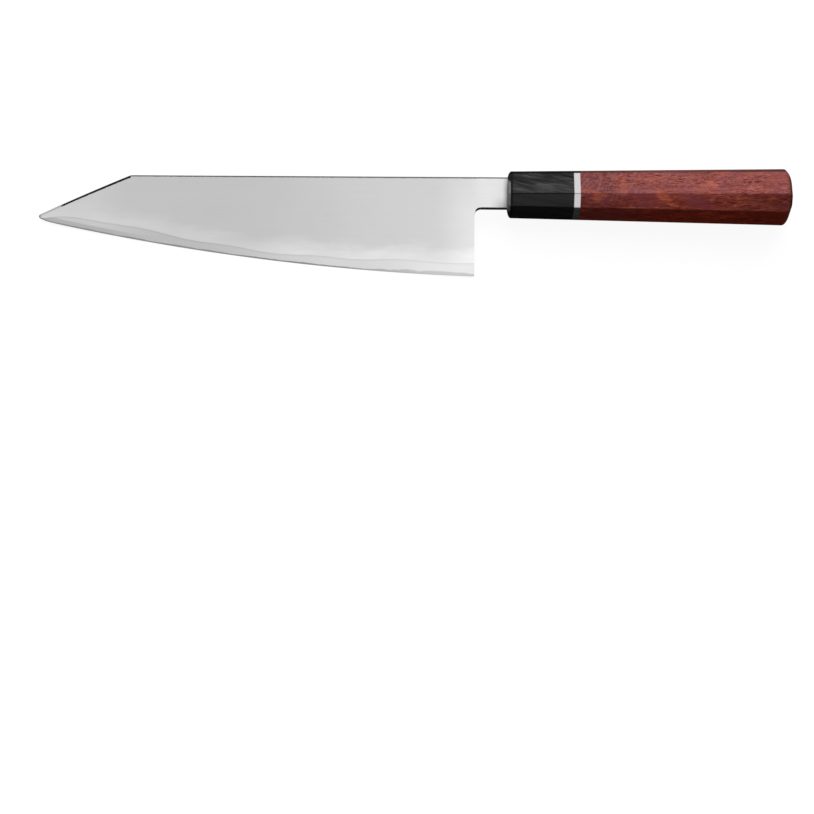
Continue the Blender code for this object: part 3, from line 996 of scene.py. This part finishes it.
BAR_INPUTS = {
    "Start": 0.0,
    "End": 100.0,
    "Taper Start": FERRULE_X,
    "Taper End": BUTT_X,
    "Front Width": 19.7,
    "Front Height": 22.2,
    "Front Leg": 8.0,  # what a cut corner takes off each side
    "Butt Width": 23.0,
    "Butt Height": 26.7,
    "Butt Leg": 8.9,
    "Ridge Radius": 1.0,
    "Front Round": 0.0,
    "Front Flat": 0.54,  # the share of the section that the front's rounding starts from
    "Dome": 0.0,
    "Dome End": 0.12,  # the share that the dome ends on
    "Centre Y": 0.0,
    "Ridge Steps": 5,
    "Front Rings": 8,
    "Dome Rings": 24,
    "Finish": None,
}


# %% A section with eased corners
def eased_octagon(width, height, leg, radius, count):
    """A rectangle whose corners are cut off by leg, with each new corner rounded."""
    tree = width.tree
    quad = {"Width": width, "Height": height}
    cut = {"Curve": add(tree, "GeometryNodeCurvePrimitiveQuadrilateral", quad)}
    cut |= {"Radius": leg, "Count": 1}
    ease = {"Curve": add(tree, "GeometryNodeFilletCurve", cut, mode="POLY")}
    ease |= {"Radius": radius, "Count": count}
    return add(tree, "GeometryNodeFilletCurve", ease, mode="POLY")


def point_of(curve, index):
    """The position of one of a curve's points."""
    position = add(curve.tree, "GeometryNodeInputPosition")
    inputs = {"Geometry": curve, "Value": position, "Index": index}
    return add(curve.tree, "GeometryNodeSampleIndex", inputs, data_type="FLOAT_VECTOR")


# %% Rings of the bar
def held(value):
    """value, held between 0 and 1."""
    return maths("MINIMUM", larger(value, 0), 1)


def choose(condition, if_false, if_true):
    inputs = {"Switch": condition, "False": if_false, "True": if_true}
    return add(condition.tree, "GeometryNodeSwitch", inputs, input_type="FLOAT")


def ring_shape(given, ring):
    """x and the share of the full section for a ring, counted from the front's middle."""
    front, dome = given["Front Rings"], given["Dome Rings"]
    rise = held((ring - 1) / front) * (math.pi / 2)
    fall = held((ring - 2 - front) / dome) * maths("ARCCOSINE", given["Dome End"])
    front_x = given["Front Round"] * (1 - maths("COSINE", rise)) + given["Start"]
    dome_x = given["End"] - given["Dome"] * (1 - maths("SINE", fall))
    in_dome = ring > front + 1.5
    front_share = between(given["Front Flat"], 1, maths("SINE", rise))
    share = choose(in_dome, front_share, maths("COSINE", fall))
    share = share * (ring > 0.5) * (ring < front + dome + 2.5)
    return choose(in_dome, front_x, dome_x), share


# %% The tree
MERGE_DISTANCE = 0.001  # closes the tube along its seam


def bent_grid(given, sections, rings, around):
    """A flat grid with one square a step, whose points move to their rings."""
    tree = rings.tree
    grid = {"Size X": rings - 1, "Size Y": around, "Vertices X": rings, "Vertices Y": around + 1}
    grid = add(tree, "GeometryNodeMeshGrid", grid)
    flat = add(tree, "GeometryNodeInputPosition")
    ring = maths("ROUND", axis(flat, "X") + (rings - 1) * 0.5)
    spoke = maths("ROUND", axis(flat, "Y") + around * 0.5)
    spoke = maths("FLOORED_MODULO", spoke, around)
    x, share = ring_shape(given, ring)
    taper = (x - given["Taper Start"]) / (given["Taper End"] - given["Taper Start"])
    first, last = [point_of(section, spoke) for section in sections]
    settings = {"data_type": "VECTOR", "clamp_factor": False}
    side = add(tree, "ShaderNodeMix", {0: taper, 4: first, 5: last}, 1, **settings)
    y = axis(side, "Y") * share + given["Centre Y"]
    moved = add(tree, "ShaderNodeCombineXYZ", {"X": x, "Y": y, "Z": axis(side, "X") * share})
    return add(tree, "GeometryNodeSetPosition", {"Geometry": grid, "Position": moved})


def make_bar_tree():
    given, bar_out = new_tree(
        "GeometryNodeTree", "faceted_bar", BAR_INPUTS, "Bar", "NodeSocketGeometry"
    )
    sections = []
    for end in ("Front", "Butt"):
        sizes = [given[f"{end} {size}"] for size in ("Width", "Height", "Leg")]
        sections.append(eased_octagon(*sizes, given["Ridge Radius"], given["Ridge Steps"]))
    around = (given["Ridge Steps"] + 1) * 8
    rings = given["Front Rings"] + given["Dome Rings"] + 4
    tube = {"Geometry": bent_grid(given, sections, rings, around), "Distance": MERGE_DISTANCE}
    closed = {"Geometry": add(rings.tree, "GeometryNodeMergeByDistance", tube)}
    real = add(rings.tree, "GeometryNodeRealizeInstances", closed)
    finish = {"Geometry": real, "Material": given["Finish"]}
    connect(add(rings.tree, "GeometryNodeSetMaterial", finish), bar_out)
    return rings.tree


bar_tree = make_bar_tree()
print("faceted_bar has", len(bar_tree.nodes), "nodes")


# %% Running the tree
def plain_mesh(obj, name):
    """The object's evaluated mesh as plain data, with its faces turned outwards."""
    graph = bpy.context.evaluated_depsgraph_get()
    mesh = bpy.data.meshes.new_from_object(obj.evaluated_get(graph))
    mesh.name = name
    bm = bmesh.new()
    bm.from_mesh(mesh)
    bmesh.ops.recalc_face_normals(bm, faces=bm.faces)
    bm.to_mesh(mesh)
    bm.free()
    return mesh


def bar(name, start, end, sizes, finish=None):
    """An object whose mesh is a stretch of faceted bar, with some sizes of its own."""
    obj = add_object(name, bpy.data.meshes.new(name))
    modifier = obj.modifiers.new("bar", "NODES")
    modifier.node_group = bar_tree
    values = {"Start": start, "End": end, "Finish": finish, **sizes}
    for item in bar_tree.interface.items_tree:
        if item.in_out == "INPUT" and item.name in values:
            modifier[item.identifier] = values[item.name]
    mesh = plain_mesh(obj, name)
    obj.modifiers.remove(modifier)
    obj.data = mesh
    return obj


# %% [markdown]
# ## Hollowing the handle
#
# The neck enters the ferrule through a shallow mouth, the tang goes on through a slot, and a dowel
# joins the pieces inside a long bore. Those hollows are cut with Booleans, from the same bar with
# small corners and from a plain cylinder.

# %% Cutters
BORE_SEGMENTS = 96
SMALL_RIDGE = 0.1


def slab(name, start, end, low, high, thickness, corner):
    """A straight flat bar with cut corners, for cutting with."""
    sizes = {"Ridge Radius": SMALL_RIDGE, "Centre Y": (low + high) / 2}
    for part in ("Front", "Butt"):
        sizes |= {f"{part} Width": thickness, f"{part} Height": high - low, f"{part} Leg": corner}
    return bar(name, start, end, sizes)


def cylinder(name, diameter, start, end):
    bm = bmesh.new()
    turn = Matrix.Translation(((start + end) / 2, 0, 0)) @ Matrix.Rotation(math.pi / 2, 4, "Y")
    sizes = {"radius1": diameter / 2, "radius2": diameter / 2, "depth": end - start}
    bmesh.ops.create_cone(bm, cap_ends=True, segments=BORE_SEGMENTS, matrix=turn, **sizes)
    return add_object(name, kept_as_mesh(bm, name))


def hollow(obj, cutters):
    """The object's mesh with every cutter taken out of it. The object itself goes."""
    for cutter in cutters:
        modifier = obj.modifiers.new(cutter.name, "BOOLEAN")
        modifier.operation = "DIFFERENCE"
        modifier.object = cutter
    mesh = plain_mesh(obj, obj.name)
    bpy.data.objects.remove(obj)
    return mesh


# %% [markdown]
# ## What the handle's finish follows
#
# Sandpaper treats each facet alike over its whole length, and so does the light, so finishes,
# painted light and painted shade follow the facets, and the ridges between them are darkened. So
# each face of the handle carries two numbers, found from the way it faces: how much it faces the
# spine, from 1 on top to -1 below, and how near it is to a ridge.

# %% Numbers on the handle
HALF_FACET = 22.5  # degrees from the middle of a facet to its ridge
LEAST_SIDEWAYS = 0.3  # where a face looks less sideways than this, its facing fades out


def number_handle(mesh):
    """Facing the spine, and nearness to a ridge, for every face of a handle piece."""
    facing = mesh.attributes.new("facing", "FLOAT", "FACE").data
    ridge = mesh.attributes.new("ridge", "FLOAT", "FACE").data
    for polygon in mesh.polygons:
        normal = polygon.normal
        sideways = math.hypot(normal.y, normal.z)
        facing[polygon.index].value = normal.y / max(LEAST_SIDEWAYS, sideways)
        turn = math.degrees(math.atan2(normal.z, normal.y))
        from_middle = abs((turn + HALF_FACET) % (2 * HALF_FACET) - HALF_FACET)
        ridge[polygon.index].value = from_middle / HALF_FACET


# %% Painted shade on the narrow facets
def narrow_facet(facing):
    """1 on the two narrow facets, which are painted darker as shade, 0 elsewhere."""
    return spread(abs(facing), 0.80, 0.95)


# %% [markdown]
# ## Horn
#
# Buffalo horn polishes to a deep black with a few soft grey streaks, because the dark pigment lies
# in layers that the facets cut at a slant. The streaks come from a long-celled noise turned about
# twelve degrees. The two narrow facets, above and below, and the facets that look down are darker,
# which is painted shade, and the upper facets are a little lighter towards the sides, which is
# painted light. The rounded front is mottled grey by its fibres, and its pale middle round the neck
# is painted light.

# %% Horn's colours and front
HORN_TONES = (
    (0.36, (0.0050, 0.0050, 0.0052)),
    (0.48, (0.0125, 0.0125, 0.0128)),
    (0.55, (0.0230, 0.0230, 0.0235)),
    (0.66, (0.0520, 0.0530, 0.0535)),
)
# painted light on the middle of the horn's rounded front
HORN_FRONT_LIGHT = (0.200, 0.200, 0.204, 1)
HORN_RIDGE = (0.0020, 0.0020, 0.0021, 1)
# painted shade: the two narrow facets and the facets that look down are darker
HORN_NARROW_SHADE = 0.62  # how bright the two narrow facets are beside the others
HORN_SHADE_BELOW = 0.60  # and those that look down
STREAK_SLANT = 0.20  # radians


def behind_front(where):
    """How far behind the ferrule's front, as a share of its rounding."""
    return (axis(where, "X") - FERRULE_X) / FRONT_ROUND


def painted_front_light(where):
    """Painted light on the front's middle, round the neck, mottled by its fibres."""
    front = spread(behind_front(where), 0.60, 0.80, 1.0, 0.0)
    height = abs(axis(where, "Y") - (SPINE_RISE + NECK_Y) / 2)
    middle = spread(height / NECK_HEIGHT, 0.42, 0.50, 1.0, 0.0)
    fibres = grain(where, (0.8, 0.9, 0.35), 0.8, 3, 4.0)
    return front * middle * spread(fibres, 0.35, 0.65, 0.38, 1.0)


def front_rim(where):
    """The dark rim where the rounded front meets the facets."""
    behind = behind_front(where)
    return spread(behind, 0.70, 0.90) * spread(behind, 1.05, 1.60, 1.0, 0.0) * 0.8


# %% Horn material
def streaks(bands, threads, facing, depth):
    """The horn's streaks as a number round 0.49, calmer on some facets than on others, with painted
    light that is lighter towards the sides.
    """
    calm = spread(facing, 0.0, 0.6, 0.45, 1.0)
    # painted light: lighter towards the sides
    painted_light_across = calm * spread(depth, 2, 9, -0.045, 0.045)
    calm = calm * spread(depth, 6, 9, 1.0, 0.6)
    return ((bands + threads) * 0.5 - 0.5) * calm + 0.49 + painted_light_across


def make_horn():
    material, shader, where = new_material("black_horn")
    slant = turned(where, STREAK_SLANT)
    bands = grain(slant, (80, 3.4, 6), 1.4, 26, 1.0, 3.0)
    threads = grain(slant, (34, 0.8, 1.4), 0.6, 14, 2.0)
    facing = carried(where, "facing")
    colour = colours(streaks(bands, threads, facing, abs(axis(where, "Z"))), HORN_TONES)
    # painted shade on the facets that look down and on the two narrow facets
    dark = spread(facing, -0.6, -0.3, HORN_SHADE_BELOW, 1.0)
    colour = scaled(colour, dark * between(1.0, HORN_NARROW_SHADE, narrow_facet(facing)))
    front = painted_front_light(where)
    crest = spread(carried(where, "ridge"), 0.05, 0.45) * (front < 0.2)
    crest = larger(crest, front_rim(where))
    feed(
        shader,
        Base_Color=blended(crest, blended(front, colour, HORN_FRONT_LIGHT), HORN_RIDGE),
        Roughness=front * 0.25 + varied(handling(where, 6), 0.28, 0.40),
        Specular_IOR_Level=0.06,
        Normal=relief(front * 12 + threads * 3),
    )
    return material


# %% [markdown]
# ## Nickel silver
#
# The spacer is a slice of white metal between the horn and the wood. It was sanded with them, so it
# has the same fine lines round the handle, and it dulls a little along its two glue lines.

# %% Spacer material
NICKEL = (0.66, 0.64, 0.65, 1)
NICKEL_DULL = (0.36, 0.34, 0.34, 1)


def make_nickel():
    material, shader, where = new_material("white_metal")
    lines = grain(where, (0.12, 6, 6), 0.2, 4, 2.0)
    blotch = handling(where, 2.5)
    from_middle = abs(axis(where, "X") - (SPACER_X + SPACER_LENGTH / 2)) / SPACER_LENGTH
    dull = spread(from_middle, 0.36, 0.5) * varied(blotch, 0.3, 0.9)
    shade = varied(lines, 0.94, 1.06, smooth=False)
    # painted light and shade: the side facets are darker, the upper and lower ones a little lighter
    shade = shade * spread(abs(carried(where, "facing")), 0.1, 0.6, 0.88, 1.03)
    shade = shade * spread(carried(where, "ridge"), 0.2, 0.7, 1.0, 0.45)
    feed(
        shader,
        Base_Color=scaled(blended(dull, NICKEL, NICKEL_DULL), shade),
        Roughness=varied(blotch, 0.11, 0.19),
        Metallic=1.0,
        Normal=relief(lines * 1.5),
    )
    return material


# %% [markdown]
# ## Figured red wood
#
# The body is a dense red hardwood with interlocked grain. Four things make it look alive: long
# flames that run with the handle, bright flecks where the fibres dive under the surface, orange
# and purple patches several millimetres wide, and short dark pores. Each is the same grain group
# with another cell size. The flecks are shorter on the slanted facets, which cut more fibres. As
# painted shade, the facets that look down are a deeper red and the two narrow ones are darker, and
# the upper facets get a painted sheen.

# %% Wood's figure
WOOD_TONES = (
    (0.18, (0.045, 0.0045, 0.0032)),
    (0.38, (0.082, 0.0115, 0.0078)),
    (0.50, (0.118, 0.0205, 0.0140)),
    (0.62, (0.160, 0.0335, 0.0220)),
    (0.82, (0.255, 0.0700, 0.0430)),
)
CURL_SLANT = -1.0  # radians


def patches(where, cell, shift):
    """Soft patches a few millimetres wide."""
    return grain(where, (cell, 0.5 * cell, 0.5 * cell), 4, 9, 2.0, shift)


def wood_flecks(where, slanted):
    """Flecks: short where a slanted facet cuts the fibres, longer on the flat ones."""
    long = grain(where, (3.8, 0.6, 0.6), 2.2, 7, 3.0, 5.0)
    short = grain(where, (3.2, 0.48, 0.48), 3.0, 6, 2.0, 21.0)
    lively = spread(patches(where, 15, 30), 0.42, 0.60, 0.55, 1.30)
    return (between(long, short, slanted * 0.9) - 0.5) * lively + 0.5


def wood_tone(where, flecks):
    """Flames, flecks and fine threads together, as a number round 0.5."""
    flames = grain(where, (24, 2.2, 2.2), 4.0, 18, 3.0)
    threads = grain(where, (8, 0.30, 0.30), 2.6, 10, 1.0, 8.0)
    return (flames - 0.5) * 0.65 + 0.505 + (flecks - 0.5) * 1.05 + (threads - 0.5) * 0.60


def curl(where, back):
    """Pale strokes that cross the grain near the spacer, where the fibres curl."""
    strokes = grain(turned(where, CURL_SLANT), (4, 0.7, 4), 2.4, 7, 2.0, 9.0)
    return spread(back, 20, 36, 1.0, 0.25) * spread(strokes, 0.48, 0.66)


# %% Wood's colours
WOOD_PURPLE = (0.108, 0.022, 0.031, 1)
WOOD_ORANGE = (0.290, 0.066, 0.032, 1)
WOOD_PALE = (0.240, 0.100, 0.095, 1)
# painted sheen on the upper facets
WOOD_PAINTED_SHEEN = (0.150, 0.082, 0.086, 1)
WOOD_PORE = (0.030, 0.0050, 0.0038, 1)
WOOD_RIDGE = (0.055, 0.0085, 0.0065, 1)
WOOD_END = (0.024, 0.0062, 0.0050, 1)
# painted shade on the two narrow facets
WOOD_NARROW_SHADE = (0.056, 0.029, 0.025, 1)
# painted shade: a deeper red on the facets that look down
WOOD_SHADE_BELOW = (1.62, 0.84, 0.55, 1)  # multiplies


def patched_colour(where, back, upper, flecks):
    """The figure's red, with purple and orange patches."""
    colour = colours(wood_tone(where, flecks), WOOD_TONES)
    purple = spread(patches(where, 14, 7), 0.50, 0.66, 0.0, 0.5)
    near = spread(back, 8, 26, 0.38, 0.0) * spread(upper, 0.0, 1.0, 0.5, 1.0)
    colour = blended(purple + near, colour, WOOD_PURPLE)
    ember = spread(patches(where, 11, 12), 0.54, 0.70, 0.0, 0.75)
    ember = ember * spread(flecks, 0.35, 0.6, 0.25, 1.0) * spread(back, 55, 80, 1.0, 0.55)
    return blended(ember, colour, WOOD_ORANGE)


def shaded_ridges_and_end(colour, where, back, facing, slanted):
    """Paints light and shade along the wood's length, darkens its ridges, and darkens its end
    grain.
    """
    dark = spread(back, 64, 88, 0.0, 0.30) * (1 - slanted)
    bright = between(1.0, spread(back, 16, 34, 0.84, 1.12), spread(facing, -0.5, 0.5))
    colour = scaled(colour, bright * (1 - dark))
    colour = blended(spread(carried(where, "ridge"), 0.2, 0.8, 0.0, 0.50), colour, WOOD_RIDGE)
    end = spread(back, BODY_LENGTH - 3.0, BODY_LENGTH - 1.2, 0.0, 0.82)
    return blended(end, colour, WOOD_END)


# %% Wood material
def make_red_wood():
    material, shader, where = new_material("red_hardwood")
    back = axis(where, "X") - BODY_X
    facing = carried(where, "facing")
    upper = spread(facing, 0.1, 0.6) * spread(facing, 0.80, 0.95, 1.0, 0.0)
    under = spread(facing, -0.95, -0.80) * spread(facing, -0.60, -0.35, 1.0, 0.0)
    flecks = wood_flecks(where, upper)
    pores = spread(grain(where, (1.8, 0.16, 0.16), 1.0, 9, 1.0, 2.0), 0.64, 0.74)
    colour = patched_colour(where, back, upper, flecks)
    # painted shade: a deeper red on the facets that look down
    colour = blended(under * spread(back, 0.0, 45, 0.5, 1.0), colour, WOOD_SHADE_BELOW, "MULTIPLY")
    pale = curl(where, back) * spread(upper, 0.0, 1.0, 0.12, 0.42)
    colour = blended(pale, colour, WOOD_PALE)
    # painted sheen on the upper facets
    colour = blended(upper * varied(flecks, 0.02, 0.38), colour, WOOD_PAINTED_SHEEN)
    colour = blended(pores * 0.5, colour, WOOD_PORE)
    # painted shade on the two narrow facets
    colour = blended(narrow_facet(facing) * 0.75, colour, WOOD_NARROW_SHADE)
    feed(
        shader,
        Base_Color=shaded_ridges_and_end(colour, where, back, facing, upper + under),
        Roughness=pores * 0.2 + varied(flecks, 0.52, 0.40),
        Specular_IOR_Level=0.07,
        Normal=relief(pores * -14 + flecks * 5),
    )
    return material


# %% Handle pieces
FERRULE_WALL = 8.7
DOWEL_DIAMETER = 14.0
DOWEL_REACH = 72.0
BEDDING_WALL = 0.6
BEDDING_END = 1.0
BEDDING_ROUNDING = 0.9


def make_cutters():
    """The mouth for the neck, the slot for the tang, and the bore for the dowel."""
    mouth_x = FERRULE_X + MOUTH_DEPTH
    mouth_heights = (NECK_Y - FIT, SPINE_RISE + FIT)
    mouth_thickness = SPINE_AT_HEEL + 2 * FIT
    slot_x = mouth_x - SHOULDER_LENGTH
    slot_end = FERRULE_X + TANG_LENGTH + 2 * FIT + BEDDING_END
    slot_half = TANG_HEIGHT / 2 + BEDDING_WALL + 2 * FIT
    slot_thickness = TANG_THICKNESS + 2 * BEDDING_WALL + 4 * FIT
    mouth = (FERRULE_X - MOUTH_DEPTH, mouth_x, *mouth_heights, mouth_thickness, NECK_EASE)
    slot = (slot_x, slot_end, -slot_half, slot_half, slot_thickness, BEDDING_ROUNDING)
    bore = (DOWEL_DIAMETER + 2 * FIT, FERRULE_X + FERRULE_WALL, BODY_X + DOWEL_REACH)
    return slab("mouth", *mouth), slab("slot", *slot), cylinder("bore", *bore)


def make_handle():
    cutters = make_cutters()
    bore = cutters[-1:]
    round_front, domed_butt = {"Front Round": FRONT_ROUND}, {"Dome": BUTT_DOME}
    solids = (
        ("ferrule", FERRULE_X, SPACER_X - SEAM, round_front, make_horn(), cutters),
        ("spacer_ring", SPACER_X, BODY_X - SEAM, {}, make_nickel(), bore),
        ("handle_body", BODY_X, BUTT_X, domed_butt, make_red_wood(), bore),
    )
    for node, start, end, sizes, material, hollows in solids:
        mesh = hollow(bar(node + "_bar", start, end, sizes, material), hollows)
        number_handle(mesh)
        place(mesh, node, material)
    for cutter in cutters:
        bpy.data.objects.remove(cutter)


make_handle()

# %% [markdown]
# ## Inside the handle
#
# The dowel and the resin that beds the tang are never seen in use, but they are there when the
# handle comes apart. Their solids are right as they are, so they stay and only take new materials:
# plain pale wood with straight grain, and clouded brown resin.

# %% Inner materials
DOWEL_TONES = ((0.3, (0.38, 0.25, 0.13)), (0.5, (0.53, 0.39, 0.23)), (0.7, (0.64, 0.50, 0.32)))
RESIN_TONES = ((0.3, (0.060, 0.045, 0.028)), (0.7, (0.130, 0.105, 0.070)))
RESIN_BUBBLE = (0.20, 0.17, 0.12, 1)


def make_dowel_wood():
    material, shader, where = new_material("dowel_wood")
    rings = grain(where, (60, 1.1, 1.6), 1.2, 20, 2.0)
    fibres = grain(where, (9, 0.15, 0.15), 0.3, 8, 2.0)
    feed(
        shader,
        Base_Color=colours(fibres * 0.4 + rings * 0.6, DOWEL_TONES),
        Roughness=varied(fibres, 0.62, 0.80),
        Normal=relief(fibres * 12),
    )
    return material


def make_resin():
    material, shader, where = new_material("bedding_resin")
    clouds = grain(where, (8, 3, 3), 2, 6, 3.0)
    bubbles = spread(grain(where, (0.5, 0.5, 0.5), detail=0.0, shift=4.0), 0.68, 0.76)
    feed(
        shader,
        Base_Color=blended(bubbles, colours(clouds, RESIN_TONES), RESIN_BUBBLE),
        Roughness=varied(clouds, 0.28, 0.42),
        Normal=relief(bubbles * -20),
    )
    return material


def repaint(node, material):
    """Gives a CAD node that stays in view a new material."""
    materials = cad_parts[node].data.materials
    materials.clear()
    materials.append(material)
    print(node, "keeps its solid, with", material.name)


repaint("handle_dowel", make_dowel_wood())
repaint("tang_bedding", make_resin())

# %% [markdown]
# ## Table and light
#
# The photograph's background is pure white, and the light is even and comes from behind the spine.
# The table glows just under white towards the camera, and a thin matt part of it still takes the
# knife's shadow. In reflections the table is a dark grey, because every facet of the real knife
# that looks down at its table is nearly black. A broad sun lights the matt pieces, and the white
# surround lights the metal.

# %% Table
TABLE_SIZE = 40.0  # metres
TABLE_GLOW = 0.93
TABLE_MATT = 0.07
TABLE_IN_METAL = 0.02
TABLE_DROP = 0.05


def ray(tree, kind):
    """1 for rays of a kind, 0 for the rest."""
    return add(tree, "ShaderNodeLightPath", output=f"Is {kind} Ray")


def make_table_white():
    material = bpy.data.materials.new("table_white")
    material.use_nodes = True
    tree = material.node_tree
    tree.nodes.remove(tree.nodes["Principled BSDF"])
    mirrored = larger(ray(tree, "Glossy"), ray(tree, "Transmission"))
    matt = {"Color": grey(between(TABLE_MATT, TABLE_IN_METAL, mirrored))}
    glow = {"Strength": ray(tree, "Camera") * TABLE_GLOW}
    matt = add(tree, "ShaderNodeBsdfDiffuse", matt)
    glow = add(tree, "ShaderNodeEmission", glow)
    both = add(tree, "ShaderNodeAddShader", {0: matt, 1: glow})
    connect(both, tree.nodes["Material Output"].inputs["Surface"])
    return material


def make_table():
    bm = bmesh.new()
    drop = Matrix.Translation((0, 0, cad_low.z - TABLE_DROP * MM))
    bmesh.ops.create_grid(bm, x_segments=1, y_segments=1, size=TABLE_SIZE / 2, matrix=drop)
    mesh = kept_as_mesh(bm, "table")
    mesh.materials.append(make_table_white())
    table = add_object("table", mesh)
    table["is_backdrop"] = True
    print("the table lies", TABLE_DROP, "mm below the solids")


make_table()

# %% World
AMBIENT = 0.19  # how bright the surround is for matt surfaces, where 1 is white


def make_world():
    world = bpy.data.worlds.new("white_surround")
    world.use_nodes = True
    tree = world.node_tree
    seen = larger(larger(ray(tree, "Camera"), ray(tree, "Glossy")), ray(tree, "Transmission"))
    background = tree.nodes["Background"].inputs
    connect((1, 1, 1, 1), background["Color"])
    connect(between(AMBIENT, 1.0, seen), background["Strength"])
    bpy.context.scene.world = world
    print("the surround lights matt pieces at", AMBIENT, "of white")


make_world()

# %% Lamp
KEY_STRENGTH = 5.65
KEY_ANGLE = 50  # degrees from straight down, on the spine's side
KEY_SPREAD = 50  # degrees across, which sets how soft the shadows are


def make_lamp():
    sun = bpy.data.lights.new("key", "SUN")
    sun.energy = KEY_STRENGTH
    sun.angle = math.radians(KEY_SPREAD)
    key = add_object("key", sun)
    key.rotation_euler = (-math.radians(KEY_ANGLE), 0, 0)
    key.visible_glossy = False
    print("key lamp at", KEY_ANGLE, "degrees")


make_lamp()
bpy.context.scene.view_settings.view_transform = "Standard"

# %% [markdown]
# ## Size
#
# How far the dressed knife stands out of the solids' own box. The dressed knife has to
# stay inside the solids' own box.

seen_low, seen_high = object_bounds()
growth = [max(cad_low[i] - seen_low[i], seen_high[i] - cad_high[i]) / MM for i in range(3)]
print("the dressed knife stands proud by at most", [round(g, 3) for g in growth], "mm")
